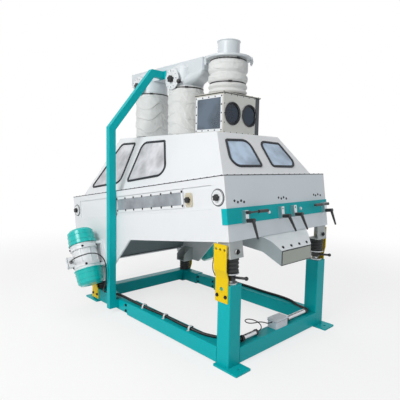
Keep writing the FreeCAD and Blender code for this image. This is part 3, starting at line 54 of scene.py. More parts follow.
across = Vector((1, 0, 0))
along = Vector((0, 1, 0))
up = Vector((0, 0, 1))
tilt = math.radians(8.13)
slopeWay = Vector((0, math.cos(tilt), -math.sin(tilt)))
downWay = Vector((0, -math.sin(tilt), -math.cos(tilt)))
casingFront = Vector((0, -0.674, 1.021))
casingHalf = 0.485
casingLength = 1.710


def onCasing(x, alongSlope, down):
    return casingFront + across * x + slopeWay * alongSlope + downWay * down


def linked(name, data):
    obj = bpy.data.objects.new(name, data)
    bpy.context.scene.collection.objects.link(obj)
    return obj


# Camera

camera = {
    "place": Vector((-1.938, -2.051, 1.081)),
    "yaw": math.radians(43.16), "pitch": math.radians(5.41), "roll": math.radians(1.08),
    "lens": 35.55, "sensor": 36, "nearest": 0.05, "farthest": 60,
}


def makeCamera(view):
    data = bpy.data.cameras.new("photoCamera")
    data.lens = view["lens"]
    data.sensor_width = view["sensor"]
    data.clip_start = view["nearest"]
    data.clip_end = view["farthest"]
    obj = linked("photoCamera", data)
    flat = math.cos(view["pitch"])
    ahead = Vector((math.sin(view["yaw"]) * flat, math.cos(view["yaw"]) * flat, -math.sin(view["pitch"])))
    level = Vector((math.cos(view["yaw"]), -math.sin(view["yaw"]), 0))
    rise = level.cross(ahead)
    right = level * math.cos(view["roll"]) + rise * math.sin(view["roll"])
    top = rise * math.cos(view["roll"]) - level * math.sin(view["roll"])
    turn = Matrix((right, top, -ahead)).transposed()
    obj.matrix_world = Matrix.Translation(view["place"]) @ turn.to_4x4()
    bpy.context.scene.camera = obj


makeCamera(camera)

# Cords, each along the route of its solid

cords = {
    "leftMotorLead": {
        "route": [
            (-0.7243, 0.5613, 0.3676), (-0.7414, 0.5194, 0.3889), (-0.730, 0.474, 0.414),
            (-0.694, 0.440, 0.434), (-0.648, 0.418, 0.446), (-0.604, 0.394, 0.438),
            (-0.574, 0.372, 0.404), (-0.562, 0.362, 0.354), (-0.558, 0.362, 0.300),
            (-0.557, 0.370, 0.246), (-0.556, 0.392, 0.200), (-0.550, 0.422, 0.164),
            (-0.530, 0.454, 0.136), (-0.490, 0.455, 0.120), (-0.456, 0.424, 0.112),
        ],
        "diameter": 0.008, "length": 0.695, "node": "left_motor_cable", "follows": True,
    },
    "rightMotorLead": {
        "route": [
            (0.7243, 0.5613, 0.3676), (0.7414, 0.5194, 0.3889), (0.738, 0.474, 0.406),
            (0.704, 0.440, 0.404), (0.660, 0.420, 0.384), (0.622, 0.412, 0.346),
            (0.590, 0.412, 0.300), (0.564, 0.412, 0.252), (0.544, 0.408, 0.206),
            (0.522, 0.392, 0.160), (0.490, 0.349, 0.119), (0.470, 0.304, 0.112),
        ],
        "diameter": 0.008, "length": 0.578, "node": "right_motor_cable", "follows": True,
    },
    "junctionLead": {
        "route": [
            (-0.190, -0.684, 0.117), (-0.156, -0.684, 0.117), (-0.122, -0.668, 0.126),
            (-0.110, -0.632, 0.138), (-0.130, -0.600, 0.150), (-0.168, -0.588, 0.158),
            (-0.204, -0.602, 0.160), (-0.214, -0.638, 0.160), (-0.190, -0.666, 0.164),
            (-0.152, -0.674, 0.164), (-0.114, -0.680, 0.152), (-0.080, -0.684, 0.136),
            (-0.045, -0.684, 0.136),
        ],
        "diameter": 0.006, "length": 0.443, "node": "junction_cable", "follows": False,
    },
}


def smoothFaces(mesh):
    mesh.polygons.foreach_set("use_smooth", [True] * len(mesh.polygons))


def makeCord(name, spec):
    # A tube round the route. A motor's lead is baked in place and rides no body; the junction lead rides the base
    # frame.
    data = bpy.data.curves.new(name + "Line", "CURVE")
    data.dimensions = "3D"
    spline = data.splines.new("NURBS")
    spline.points.add(len(spec["route"]) - 1)
    for point, place in zip(spline.points, spec["route"]):
        point.co = (*place, 1)
    spline.order_u = 3
    spline.use_endpoint_u = True
    spline.resolution_u = 8
    line = linked(name + "Line", data)
    flat = bpy.data.meshes.new_from_object(line)
    bpy.data.meshes.remove(flat)
    data.bevel_depth = spec["diameter"] / 2
    data.bevel_resolution = 4
    data.use_fill_caps = True
    obj = linked(name, bpy.data.meshes.new_from_object(line))
    bpy.data.objects.remove(line)
    smoothFaces(obj.data)
    if spec["follows"]:
        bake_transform(obj)
    else:
        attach(obj, "base_frame")
    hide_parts(spec["node"])
    return obj


cordPieces = [makeCord(cordName, cordSpec) for cordName, cordSpec in cords.items()]
print("stage: camera and cords")

# Shader nodes


def rgb(red, green, blue):
    return (red, green, blue, 1)


def feed(tree, sockets, values):
    # Each value is a plain number or colour, or another node's output to be linked in.
    for label, value in values.items():
        if isinstance(value, bpy.types.NodeSocket):
            tree.links.new(value, sockets[label])
        else:
            sockets[label].default_value = value


def addNode(tree, kind, values=None, **settings):
    node = tree.nodes.new("ShaderNode" + kind)
    for label, value in settings.items():
        setattr(node, label, value)
    feed(tree, node.inputs, values or {})
    return node


def combine(tree, operation, *terms):
    return addNode(tree, "Math", dict(enumerate(terms)), operation=operation).outputs[0]


def remap(tree, value, low=0.0, high=1.0, toLow=0.0, toHigh=1.0, **settings):
    limits = {"Value": value, "From Min": low, "From Max": high, "To Min": toLow, "To Max": toHigh}
    return addNode(tree, "MapRange", limits, **settings).outputs["Result"]


def objectPlace(tree):
    return addNode(tree, "TexCoord").outputs["Object"]


def noiseField(tree, scale, detail, **more):
    values = {"Vector": objectPlace(tree), "Scale": scale, "Detail": detail}
    values.update(more)
    return addNode(tree, "TexNoise", values).outputs["Fac"]


def mixColor(tree, fac, first, second):
    mix = addNode(tree, "Mix", {"Factor": fac}, data_type="RGBA")
    feed(tree, [socket for socket in mix.inputs if socket.type == "RGBA"], {0: first, 1: second})
    return next(socket for socket in mix.outputs if socket.type == "RGBA")


def seenDirectly(tree):
    # One where the camera, a reflection or a pane looks straight at the surface.
    path = addNode(tree, "LightPath").outputs
    first = combine(tree, "MAXIMUM", path["Is Camera Ray"], path["Is Glossy Ray"])
    return combine(tree, "MAXIMUM", first, path["Is Transmission Ray"])


# Floor, backdrop and lamps

studio = {
    "ambient": 0.30, "size": 14, "shade": 0.9, "fadeFrom": 1.6, "fadeTo": 4.2, "floorShare": 0.72,
}
lamps = {
    "keyLamp": {"place": (-4.4, -0.9, 3.3), "aim": (0, 0, 0.8), "size": 2.4, "power": 150},
    "fillLamp": {
        "place": (2.2, -4.6, 2.6), "aim": (0, 0, 0.8), "size": 3.0, "power": 20, "tint": (0.84, 0.92, 1.0),
    },
    "topLamp": {"place": (0.3, 0.6, 5.2), "aim": (0, 0, 0), "size": 3.4, "power": 44},
    "backLamp": {"place": (3.0, 4.4, 2.8), "aim": (0, 0, 0.8), "size": 2.4, "power": 34},
}


def makeLamp(name, spec):
    data = bpy.data.lights.new(name, "AREA")
    data.shape = "DISK"
    data.size = spec["size"]
    data.energy = spec["power"]
    data.color = spec.get("tint", (1, 1, 1))
    obj = linked(name, data)
    obj.location = spec["place"]
    obj.rotation_mode = "QUATERNION"
    obj.rotation_quaternion = (Vector(spec["aim"]) - Vector(spec["place"])).to_track_quat("-Z", "Y")


def makeWorld(spec):
    world = bpy.data.worlds.new("studio")
    world.use_nodes = True
    tree = world.node_tree
    strength = remap(tree, seenDirectly(tree), toLow=spec["ambient"])
    feed(tree, tree.nodes["Background"].inputs, {"Color": rgb(1, 1, 1), "Strength": strength})
    bpy.context.scene.world = world


def makeFloor(spec):
    mesh = bpy.data.meshes.new("studioFloor")
    half = spec["size"]
    mesh.from_pydata([(-half, -half, 0), (half, -half, 0), (half, half, 0), (-half, half, 0)], [], [(0, 1, 2, 3)])
    material = bpy.data.materials.new("studioPaper")
    material.use_nodes = True
    tree = material.node_tree
    tree.nodes.clear()
    paper = addNode(tree, "BsdfDiffuse", {"Color": rgb(spec["shade"], spec["shade"], spec["shade"])})
    glow = addNode(tree, "Emission", {"Color": rgb(1, 1, 1)})
    place = addNode(tree, "NewGeometry").outputs["Position"]
    reach = addNode(tree, "VectorMath", {0: place}, operation="LENGTH").outputs["Value"]
    fade = remap(
        tree, reach, spec["fadeFrom"], spec["fadeTo"], spec["floorShare"], interpolation_type="SMOOTHSTEP",
    )
    share = combine(tree, "MULTIPLY", fade, seenDirectly(tree))
    mix = addNode(tree, "MixShader", {"Fac": share, 1: paper.outputs["BSDF"], 2: glow.outputs["Emission"]})
    addNode(tree, "OutputMaterial", {"Surface": mix.outputs["Shader"]})
    mesh.materials.append(material)
    linked("studioFloor", mesh)


makeWorld(studio)
makeFloor(studio)
for lampName, lampSpec in lamps.items():
    makeLamp(lampName, lampSpec)
bpy.context.scene.view_settings.view_transform = "Standard"
print("stage: floor and lamps")

# Effects that the materials share


def newGroup(name, inputs, outputs):
    group = bpy.data.node_groups.new(name, "ShaderNodeTree")
    for label, kind, value in inputs:
        socket = group.interface.new_socket(label, in_out="INPUT", socket_type="NodeSocket" + kind)
        socket.default_value = value
    for label, kind in outputs:
        group.interface.new_socket(label, in_out="OUTPUT", socket_type="NodeSocket" + kind)
    return group, group.nodes.new("NodeGroupInput").outputs, group.nodes.new("NodeGroupOutput").inputs


def makeGrainGroup():
    # Fine surface relief, an orange peel or a moulded grain, as a normal.
    group, start, end = newGroup(
        "surfaceGrain", [("Scale", "Float", 400.0), ("Strength", "Float", 0.1), ("Edge", "Float", 0.0015)],
        [("Normal", "Vector")],
    )
    bevel = addNode(group, "Bevel", {"Radius": start["Edge"]}, samples=4)
    bump = addNode(group, "Bump", {
        "Strength": start["Strength"], "Distance": 0.001, "Height": noiseField(group, start["Scale"], 3),
        "Normal": bevel.outputs["Normal"],
    })
    feed(group, end, {"Normal": bump.outputs["Normal"]})
    return group


def makeDustGroup():
    # A mask of flour dust: on faces that look up, broken by noise.
    group, start, end = newGroup("flourDust", [("Amount", "Float", 0.4)], [("Mask", "Float")])
    surface = addNode(group, "NewGeometry").outputs
    split = addNode(group, "SeparateXYZ", {"Vector": surface["Normal"]})
    rise = remap(group, split.outputs["Z"], 0.25, 1.0)
    patch = remap(group, noiseField(group, 9, 7), 0.35, 0.7)
    both = combine(group, "MULTIPLY", rise, patch)
    feed(group, end, {"Mask": combine(group, "MULTIPLY", both, start["Amount"])})
    return group


def makeWearAndHighlightGroup():
    # A mask of the edges, from the difference between the true and the rounded normal: rubbed wear where the paint's
    # edge colour is dark, a painted highlight where it is light.
    group, start, end = newGroup(
        "edgeWearAndHighlight", [("Width", "Float", 0.003), ("Amount", "Float", 0.5)], [("Mask", "Float")],
    )
    surface = addNode(group, "NewGeometry").outputs
    bevel = addNode(group, "Bevel", {"Radius": start["Width"]}, samples=4).outputs
    dot = addNode(group, "VectorMath", {0: surface["Normal"], 1: bevel["Normal"]}, operation="DOT_PRODUCT")
    edge = remap(group, dot.outputs["Value"], 0.995, 0.85)
    broken = remap(group, noiseField(group, 60, 6), 0.5, 0.62)
    both = combine(group, "MULTIPLY", edge, broken)
    feed(group, end, {"Mask": combine(group, "MULTIPLY", both, start["Amount"])})
    return group


def makeVaryGroup():
    # Soft cloudy variation of a colour's value, around one.
    group, start, end = newGroup(
        "cloudyShade",
        [("Color", "Color", rgb(0.8, 0.8, 0.8)), ("Scale", "Float", 3.0), ("Spread", "Float", 0.06)],
        [("Color", "Color"), ("Fac", "Float")],
    )
    clouds = noiseField(group, start["Scale"], 5)
    centred = combine(group, "SUBTRACT", clouds, 0.5)
    value = combine(group, "MULTIPLY_ADD", centred, start["Spread"], 1.0)
    shade = addNode(group, "HueSaturation", {"Color": start["Color"], "Value": value})
    feed(group, end, {"Color": shade.outputs["Color"], "Fac": clouds})
    return group


grainGroup = makeGrainGroup()
dustGroup = makeDustGroup()
wearAndHighlightGroup = makeWearAndHighlightGroup()
varyGroup = makeVaryGroup()

# Materials


def useGroup(tree, group, **values):
    return addNode(tree, "Group", values, node_tree=group).outputs


def newMaterial(name):
    material = bpy.data.materials.new(name)
    material.use_nodes = True
    tree = material.node_tree
    return material, tree, tree.nodes["Principled BSDF"].inputs


def paint(name, color, rough=0.36, coat=0.1, dust=0.1, wearAndHighlight=0.1, wearAndHighlightColor=(0.30, 0.32, 0.33), spread=0.08, shine=0.5):
    # Sprayed enamel: orange peel, faint clouding, flour dust on top faces, and edges that are rubbed where the edge
    # colour is dark and carry a painted highlight where it is light.
    material, tree, inputs = newMaterial(name)
    base = useGroup(tree, varyGroup, Color=rgb(*color), Scale=2.4, Spread=spread)
    dustAndSheen = useGroup(tree, dustGroup, Amount=dust)
    wornAndLit = useGroup(tree, wearAndHighlightGroup, Width=0.003, Amount=wearAndHighlight)
    grain = useGroup(tree, grainGroup, Scale=520.0, Strength=0.07, Edge=0.0016)
    dusted = mixColor(tree, dustAndSheen["Mask"], base["Color"], rgb(0.72, 0.70, 0.64))
    feed(tree, inputs, {
        "Base Color": mixColor(tree, wornAndLit["Mask"], dusted, rgb(*wearAndHighlightColor)), "Normal": grain["Normal"],
        "Roughness": remap(tree, base["Fac"], toLow=rough, toHigh=rough + 0.16),
        "Coat Weight": coat, "Coat Roughness": 0.2, "Specular IOR Level": shine,
    })
    return material


def metal(name, color, rough=0.3):
    # Bare or plated metal with a fine mottle in its gloss.
    material, tree, inputs = newMaterial(name)
    base = useGroup(tree, varyGroup, Color=rgb(*color), Scale=14.0, Spread=0.25)
    dustAndSheen = useGroup(tree, dustGroup, Amount=0.1)
    grain = useGroup(tree, grainGroup, Scale=700.0, Strength=0.05, Edge=0.001)
    feed(tree, inputs, {
        "Base Color": mixColor(tree, dustAndSheen["Mask"], base["Color"], rgb(0.6, 0.58, 0.53)),
        "Normal": grain["Normal"], "Metallic": 1.0,
        "Roughness": remap(tree, noiseField(tree, 240, 4), toLow=rough * 0.7, toHigh=rough * 1.4),
    })
    return material


def moulded(name, color, rough=0.45, grainScale=900.0, grainStrength=0.18, dust=0.1):
    # Moulded plastic or rubber with a fine grain.
    material, tree, inputs = newMaterial(name)
    base = useGroup(tree, varyGroup, Color=rgb(*color), Scale=12.0, Spread=0.2)
    dustAndSheen = useGroup(tree, dustGroup, Amount=dust)
    grain = useGroup(tree, grainGroup, Scale=grainScale, Strength=grainStrength, Edge=0.0012)
    feed(tree, inputs, {
        "Base Color": mixColor(tree, dustAndSheen["Mask"], base["Color"], rgb(0.42, 0.41, 0.38)),
        "Normal": grain["Normal"],
        "Roughness": remap(tree, base["Fac"], toLow=rough - 0.08, toHigh=rough + 0.12),
    })
    return material


def pane(name, color, haze, rough=0.12):
    # A clear acrylic pane with a film inside, seen through from both sides: a dusty film on the clear panes, and on the
    # front panes a bluer film that is a painted sheen of the front light.
    material, tree, inputs = newMaterial(name)
    tree.nodes.remove(tree.nodes["Principled BSDF"])
    film = remap(tree, noiseField(tree, 7, 8), 0.3, 0.7, haze * 0.55, haze * 1.3)
    clear = addNode(tree, "BsdfTransparent", {"Color": rgb(0.90, 0.93, 0.95)}).outputs["BSDF"]
    dustAndSheen = addNode(tree, "BsdfDiffuse", {"Color": rgb(*color)}).outputs["BSDF"]
    body = addNode(tree, "MixShader", {"Fac": film, 1: clear, 2: dustAndSheen}).outputs["Shader"]
    shine = addNode(tree, "BsdfGlossy", {"Roughness": rough}).outputs["BSDF"]
    edge = addNode(tree, "Fresnel", {"IOR": 1.45}).outputs["Fac"]
    whole = addNode(tree, "MixShader", {"Fac": edge, 1: body, 2: shine}).outputs["Shader"]
    feed(tree, tree.nodes["Material Output"].inputs, {"Surface": whole})
    return material


def cloth(name, color, weave=1500.0):
    # Coated filter cloth: a fine plain weave with crease shading.
    material, tree, inputs = newMaterial(name)
    place = objectPlace(tree)
    threads = addNode(tree, "TexWave", {"Scale": weave, "Vector": place}, wave_type="BANDS", bands_direction="Z")
    warp = addNode(tree, "TexWave", {"Scale": weave, "Vector": place}, bands_direction="DIAGONAL")
    height = combine(tree, "MAXIMUM", threads.outputs["Fac"], warp.outputs["Fac"])
    fine = addNode(tree, "Bump", {"Strength": 0.25, "Distance": 0.0006, "Height": height})
    creases = noiseField(tree, 26, 5, Distortion=1.2)
    coarse = addNode(tree, "Bump", {
        "Strength": 0.35, "Distance": 0.006, "Height": creases, "Normal": fine.outputs["Normal"],
    })
    base = useGroup(tree, varyGroup, Color=rgb(*color), Scale=5.0, Spread=0.12)
    feed(tree, inputs, {
        "Normal": coarse.outputs["Normal"], "Base Color": base["Color"], "Roughness": 0.72, "Sheen Weight": 0.25,
    })
    return material


def screen(name, color):
    # Woven wire cloth over the deck frame.
    material, tree, inputs = newMaterial(name)
    place = objectPlace(tree)
    wires = [
        addNode(tree, "TexWave", {"Scale": 160, "Vector": place}, bands_direction=way).outputs["Fac"]
        for way in ("X", "Y")
    ]
    mesh = combine(tree, "MAXIMUM", *wires)
    bump = addNode(tree, "Bump", {"Distance": 0.001, "Height": mesh})
    feed(tree, inputs, {
        "Base Color": mixColor(tree, mesh, rgb(0.05, 0.05, 0.05), rgb(*color)), "Normal": bump.outputs["Normal"],
        "Metallic": 0.8, "Roughness": 0.4,
    })
    return material


# A lighter turquoise for the edges of the turquoise paints: a painted highlight along their edges.
edgeHighlightTint = (0.16, 0.72, 0.72)
materials = {
    "turquoise": paint(
        "turquoisePaint", (0.0, 0.45, 0.48), rough=0.34, coat=0.05, dust=0.01, wearAndHighlight=0.5, wearAndHighlightColor=edgeHighlightTint,
        spread=0.1, shine=0.15,
    ),
    "gloss": paint(
        "capPaint", (0.0, 0.50, 0.47), rough=0.15, coat=0.25, dust=0.01, wearAndHighlight=0.3, wearAndHighlightColor=edgeHighlightTint,
        spread=0.06, shine=0.4,
    ),
    "white": paint("whitePaint", (0.80, 0.82, 0.84), coat=0.25, dust=0.12, wearAndHighlight=0.12),
    # The front panel's paint: the white paint made bluer, painted shade and bluish fill light of the front face.
    "shade": paint("frontPaintedShade", (0.76, 0.83, 0.88), coat=0.2, dust=0.08, wearAndHighlight=0.12),
    "gray": paint("grayPaint", (0.48, 0.52, 0.52), rough=0.38, coat=0.15, dust=0.15, wearAndHighlight=0.2),
    # The stone spout's white paint in two copies: a lighter, bluer one on its top and underside as painted light, a
    # darker one on its sides as painted shade.
    "spout": paint("spoutTopPaintedLight", (0.88, 0.93, 0.96), rough=0.34, coat=0.2, wearAndHighlight=0.15),
    "spoutSide": paint("spoutSidePaintedShade", (0.32, 0.38, 0.40), coat=0.2, wearAndHighlight=0.15),
    "mouth": paint("mouthPaint", (0.42, 0.45, 0.40), rough=0.4),
    "duct": paint("ductPaint", (0.66, 0.71, 0.74), rough=0.34, coat=0.2),
    "dark": paint("darkPaint", (0.05, 0.06, 0.07), rough=0.45, wearAndHighlight=0.2),
    "chute": paint("chutePaint", (0.22, 0.27, 0.29), rough=0.42, wearAndHighlight=0.2),
    "yellow": paint("yellowPaint", (0.84, 0.58, 0.0), coat=0.05, dust=0.01, wearAndHighlight=0.3, shine=0.2),
    "beige": paint("beigePaint", (0.58, 0.57, 0.50), rough=0.42, dust=0.15),
    "light": paint("lightPaint", (0.74, 0.75, 0.70), rough=0.42),
    "blackSteel": paint("blackSteel", (0.008, 0.008, 0.010), rough=0.4, coat=0.0, dust=0.02, shine=0.3),
    "zinc": metal("zincPlate", (0.56, 0.58, 0.60), rough=0.36),
    "iron": metal("machinedIron", (0.22, 0.23, 0.24), rough=0.5),
    "hose": metal("hoseSteel", (0.55, 0.56, 0.58), rough=0.24),
    "screen": screen("wireScreen", (0.5, 0.5, 0.5)),
    "rubber": moulded(
        "blackRubber", (0.012, 0.013, 0.014), rough=0.55, grainScale=600.0, grainStrength=0.25, dust=0.2,
    ),
    "gasket": moulded(
        "gasketRubber", (0.005, 0.008, 0.014), rough=0.6, grainScale=600.0, grainStrength=0.2, dust=0.02,
    ),
    "plastic": moulded("blackPlastic", (0.010, 0.010, 0.012), rough=0.36, dust=0.12),
    "beigePlastic": moulded("beigePlastic", (0.62, 0.56, 0.42), rough=0.42),
    "boxPlastic": moulded("boxPlastic", (0.72, 0.77, 0.82), rough=0.46),
    "clipPlastic": moulded("clipPlastic", (0.75, 0.76, 0.76), rough=0.42),
    "conduit": moulded("conduitPlastic", (0.010, 0.010, 0.011), rough=0.4),
    "lead": moulded("leadRubber", (0.008, 0.008, 0.009), rough=0.4, dust=0.08),
    "pane": pane("clearPane", (0.80, 0.80, 0.84), haze=0.80),
    # Front panes: a bluer film than the side panes', a painted sheen of the bluish front light.
    "frontPanePaintedSheen": pane("frontPanePaintedSheen", (0.60, 0.76, 0.95), haze=0.95),
    "stripPane": pane("stripPane", (0.42, 0.46, 0.50), haze=0.8, rough=0.14),
    "slatePane": pane("slatePane", (0.13, 0.17, 0.22), haze=0.85, rough=0.08),
    "portPane": pane("portPane", (0.012, 0.035, 0.07), haze=0.95, rough=0.08),
    "cloth": cloth("filterCloth", (0.74, 0.75, 0.74)),
}

nodeFinish = {
    "turquoise": (
        "foot_plates", "cross_beams", "left_rail", "right_rail", "rail_splices", "front_columns", "support_post",
        "colour_band",
    ),
    "gloss": ("motor_caps",),
    "yellow": ("lock_plates",),
    "zinc": ("spring_jacks", "grain_flap", "feed_gate", "clamp_blocks"),
    "blackSteel": ("frame_bolts",),
    "duct": ("exhaust_trunk", "inlet_pipe"),
    "white": (
        "valve_index_plates", "left_side_panel", "right_side_panel", "rear_cover", "hood", "round_covers",
        "motor_bodies",
    ),
    # The front panel takes the painted-shade copy of the white paint.
    "shade": ("front_panel",),
    "chute": ("grain_chute",),
    "spout": ("stone_spout",),
    "gray": ("spring_brackets",),
    "beige": ("head_box",),
    "screen": ("upper_deck", "lower_deck"),
    "iron": ("left_rotor", "right_rotor"),
    "pane": ("window_panes", "side_windows"),
    "rubber": ("window_gaskets", "front_springs", "rear_springs"),
    "cloth": ("inlet_sleeve", "duct_sleeves"),
    "boxPlastic": ("junction_box",),
    "clipPlastic": ("conduit_clips",),
    "beigePlastic": ("gauge_plate",),
    "plastic": (
        "left_lock_nut", "right_lock_nut", "near_duct_valve", "far_duct_valve", "clamp_lever_1", "clamp_lever_2",
        "clamp_lever_3", "clamp_lever_4", "left_gate_handle", "right_gate_handle", "near_cover_knob",
        "far_cover_knob", "gauge_knob", "cable_conduits",
    ),
}


def setMaterial(obj, finish):
    obj.data.materials.clear()
    obj.data.materials.append(materials[finish])


for nodeLook, nodeNames in nodeFinish.items():
    for nodeName in nodeNames:
        setMaterial(nodes[nodeName], nodeLook)
for cordPiece in cordPieces:
    setMaterial(cordPiece, "lead")
print("stage: materials")

# Shapes: small parts are gathered into one mesh for each kind


def thicken(obj, thickness, offset, even=False):
    sheet = obj.modifiers.new("sheetThickness", "SOLIDIFY")
    sheet.thickness = thickness
    sheet.offset = offset
    sheet.use_even_offset = even


def roundSome(obj, width):
    bevel = obj.modifiers.new("softEdges", "BEVEL")
    bevel.width = width
    bevel.segments = 2
    bevel.limit_method = "ANGLE"
    bevel.angle_limit = math.radians(35)


def finishMesh(bm, name, turnOut=True):
    if turnOut:
        bmesh.ops.recalc_face_normals(bm, faces=bm.faces)
    mesh = bpy.data.meshes.new(name)
    bm.to_mesh(mesh)
    bm.free()
    return mesh


def addPiece(name, bm, finish, body="casing", smooth=False, edge=0, node=None, turnOut=True):
    # A rigid piece that rides a body; with node, it is shown in that node's place.
    obj = linked(name, finishMesh(bm, name, turnOut))
    if smooth:
        smoothFaces(obj.data)
    setMaterial(obj, finish)
    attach(obj, body)
    if edge:
        roundSome(obj, edge)
    if node:
        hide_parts(node)
    return obj


def addBlended(name, mesh, finish, node):
    # A flexible piece between the frame at top and the casing at bottom.
    obj = linked(name, mesh)
    smoothFaces(mesh)
    setMaterial(obj, finish)
    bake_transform(obj)
    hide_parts(node)


def addCone(bm, centre, axis, low, high, height, sides=20):
    turn = axis.to_track_quat("Z", "Y").to_matrix().to_4x4()
    place = Matrix.Translation(centre + axis * (height / 2)) @ turn
    bmesh.ops.create_cone(bm, cap_ends=True, segments=sides, radius1=low, radius2=high, depth=height, matrix=place)


def addBlock(bm, centre, axes, size):
    spans = [axis * length for axis, length in zip(axes, size)]
    ends = (-0.5, 0.5)
    corners = [
        bm.verts.new(centre + spans[0] * i + spans[1] * j + spans[2] * k) for i in ends for j in ends for k in ends
    ]
    for face in ((0, 1, 3, 2), (4, 6, 7, 5), (0, 4, 5, 1), (2, 3, 7, 6), (0, 2, 6, 4), (1, 5, 7, 3)):
        bm.faces.new([corners[n] for n in face])


def ray(i, count):
    angle = 2 * math.pi * i / count
    return Vector((math.cos(angle), math.sin(angle), 0))


def circle(centre, radius, sides=(across, along), count=64):
    return [centre + (sides[0] * ray(i, count).x + sides[1] * ray(i, count).y) * radius for i in range(count)]


def skin(bm, rows):
    # Faces between neighbouring rows of vertices, each row a closed loop.
    for low, high in zip(rows, rows[1:]):
        for i in range(len(low)):
            k = (i + 1) % len(low)
            bm.faces.new((low[i], low[k], high[k], high[i]))


def addLoops(bm, loops):
    rows = [[bm.verts.new(p) for p in loop] for loop in loops]
    skin(bm, rows)
    return rows


def addRing(bm, centre, axis, outer, inner, height, sides=48):
    # A flat washer or collar with a rounded rim.
    place = Matrix.Translation(centre) @ axis.to_track_quat("Z", "Y").to_matrix().to_4x4()
    lip = min(height * 0.4, (outer - inner) * 0.3)
    profile = (
        (inner, 0), (outer, 0), (outer, height - lip), (outer - lip, height), (inner + lip, height),
        (inner, height - lip),
    )
    rows = [[bm.verts.new(place @ (ray(i, sides) * r + up * h)) for r, h in profile] for i in range(sides)]
    skin(bm, rows + rows[:1])


def addSheet(bm, outline, holes, outward):
    # A flat sheet with openings, its faces turned outward.
    loops = [outline] + holes
    verts = [bm.verts.new(p) for loop in loops for p in loop]
    for triangle in tessellate_polygon(loops):
        face = bm.faces.new([verts[i] for i in triangle])
        face.normal_update()
        if face.normal.dot(outward) < 0:
            face.normal_flip()


def opposite(point):
    return Vector((-point.x, point.y, point.z))


def spaced(start, end, count):
    return [start.lerp(end, i / (count - 1)) for i in range(count)]


def rectangle(corner, low, high):
    return [corner(a, b) for a, b in (low, (high[0], low[1]), high, (low[0], high[1]))]


def edgeRows(corners, upright, level):
    # Even places along a rectangle's four edges.
    a, b, c, d = corners
    return spaced(a, d, upright) + spaced(b, c, upright) + spaced(d, c, level)[1:-1] + spaced(a, b, level)[1:-1]


def frameStrip(bm, corners, axis, width, thick):
    # Four flat bars round an opening, mitred at the corners.
    outer = []
    for i, corner in enumerate(corners):
        before = (corners[i - 1] - corner).normalized()
        after = (corners[(i + 1) % len(corners)] - corner).normalized()
        outer.append(corner - (before + after) * width)
    raised = [p + axis * thick for p in corners]
    raisedOuter = [p + axis * thick for p in outer]
    rows = addLoops(bm, [corners, outer, raisedOuter, raised])
    skin(bm, [rows[3], rows[0]])


screwShape = {
    "washer": (1.35, 1.3, 0.0007), "headTop": 0.72, "headRise": 0.42, "slotWidth": 0.22, "slotHeight": 0.0004,
}
boltShape = {"washer": (1.5, 1.45, 0.0012), "headRise": 0.62, "chamfer": (0.94, 0.74, 0.14)}


def panScrews(name, places, axis, radius, finish="blackSteel", body="casing"):
    # Pan-head screws with a washer below and a dark cross recess.
    heads = bmesh.new()
    slots = bmesh.new()
    low, high, washer = screwShape["washer"]
    rise = radius * screwShape["headRise"]
    side = up if abs(axis.dot(up)) < 0.5 else across
    for place in places:
        addCone(heads, place, axis, radius * low, radius * high, washer)
        addCone(heads, place + axis * washer, axis, radius, radius * screwShape["headTop"], rise)
        for way in (side, side.cross(axis)):
            size = (radius, radius * screwShape["slotWidth"], screwShape["slotHeight"])
            addBlock(slots, place + axis * (washer + rise), (way, way.cross(axis), axis), size)
    addPiece(name, heads, finish, body)
    addPiece(name + "Recess", slots, "plastic", body)


def hexBolts(name, places, axis, radius):
    # Hexagon bolts on the casing: washer and chamfered head.
    heads = bmesh.new()
    low, high, washer = boltShape["washer"]
    rise = radius * boltShape["headRise"]
    chamferLow, chamferHigh, chamferRise = boltShape["chamfer"]
    for place in places:
        addCone(heads, place, axis, radius * low, radius * high, washer, 24)
        addCone(heads, place + axis * washer, axis, radius, radius, rise, 6)
        top = place + axis * (washer + rise)
        addCone(heads, top, axis, radius * chamferLow, radius * chamferHigh, radius * chamferRise, 6)
    addPiece(name, heads, "blackSteel")


# Screws of the window strip and of the front panel

stripScrews = {
    "rows": (
        (0.0585, (1.043, 0.938, 0.838, 0.739, 0.639, 0.539, 0.439, 0.343)),
        (0.1395, (1.044, 0.941, 0.843, 0.741, 0.644, 0.542, 0.441, 0.343)),
    ),
    "face": -0.4825, "radius": 0.0056,
}
panelScrews = {
    "places": (
        (-0.421, 0.134), (-0.395, 0.142), (-0.369, 0.136), (-0.346, 0.144), (-0.039, 0.136), (-0.013, 0.142),
        (0.011, 0.136), (0.037, 0.144), (0.343, 0.134), (0.366, 0.140), (0.394, 0.134), (0.423, 0.141),
    ),
    "radius": 0.0052,
}


def addSheetScrews(stripSpec, panelSpec):
    left = [onCasing(stripSpec["face"], l, down) for down, row in stripSpec["rows"] for l in row]
    panScrews("leftStripScrews", left, -across, stripSpec["radius"])
    panScrews("rightStripScrews", [opposite(p) for p in left], across, stripSpec["radius"])
    panScrews("panelScrews", [onCasing(x, 0, h) for x, h in panelSpec["places"]], -slopeWay, panelSpec["radius"])


addSheetScrews(stripScrews, panelScrews)
print("stage: screws")

# Head box: window frame, face plate screws, port rings, lid gasket and bolts

headBox = {
    "left": -0.173, "right": 0.173, "near": -0.358, "far": -0.111, "low": 1.263, "top": 1.510,
    "faceOut": -0.362, "plateRight": 0.128, "screwEdge": 0.009, "screwRadius": 0.0036,
    "window": {"near": -0.339, "far": -0.130, "low": 1.292, "top": 1.482, "rim": 0.016, "thick": 0.0025},
    "windowScrewEdge": 0.008, "ports": (-0.093, 0.067), "portHeight": 1.387, "portRadius": 0.067,
    "lid": {"inset": 0.0005, "drop": 0.004, "bar": 0.004, "boltRadius": 0.0042},
    "lidBolts": {"half": 0.165, "near": -0.356, "far": -0.115, "height": 1.514},
}


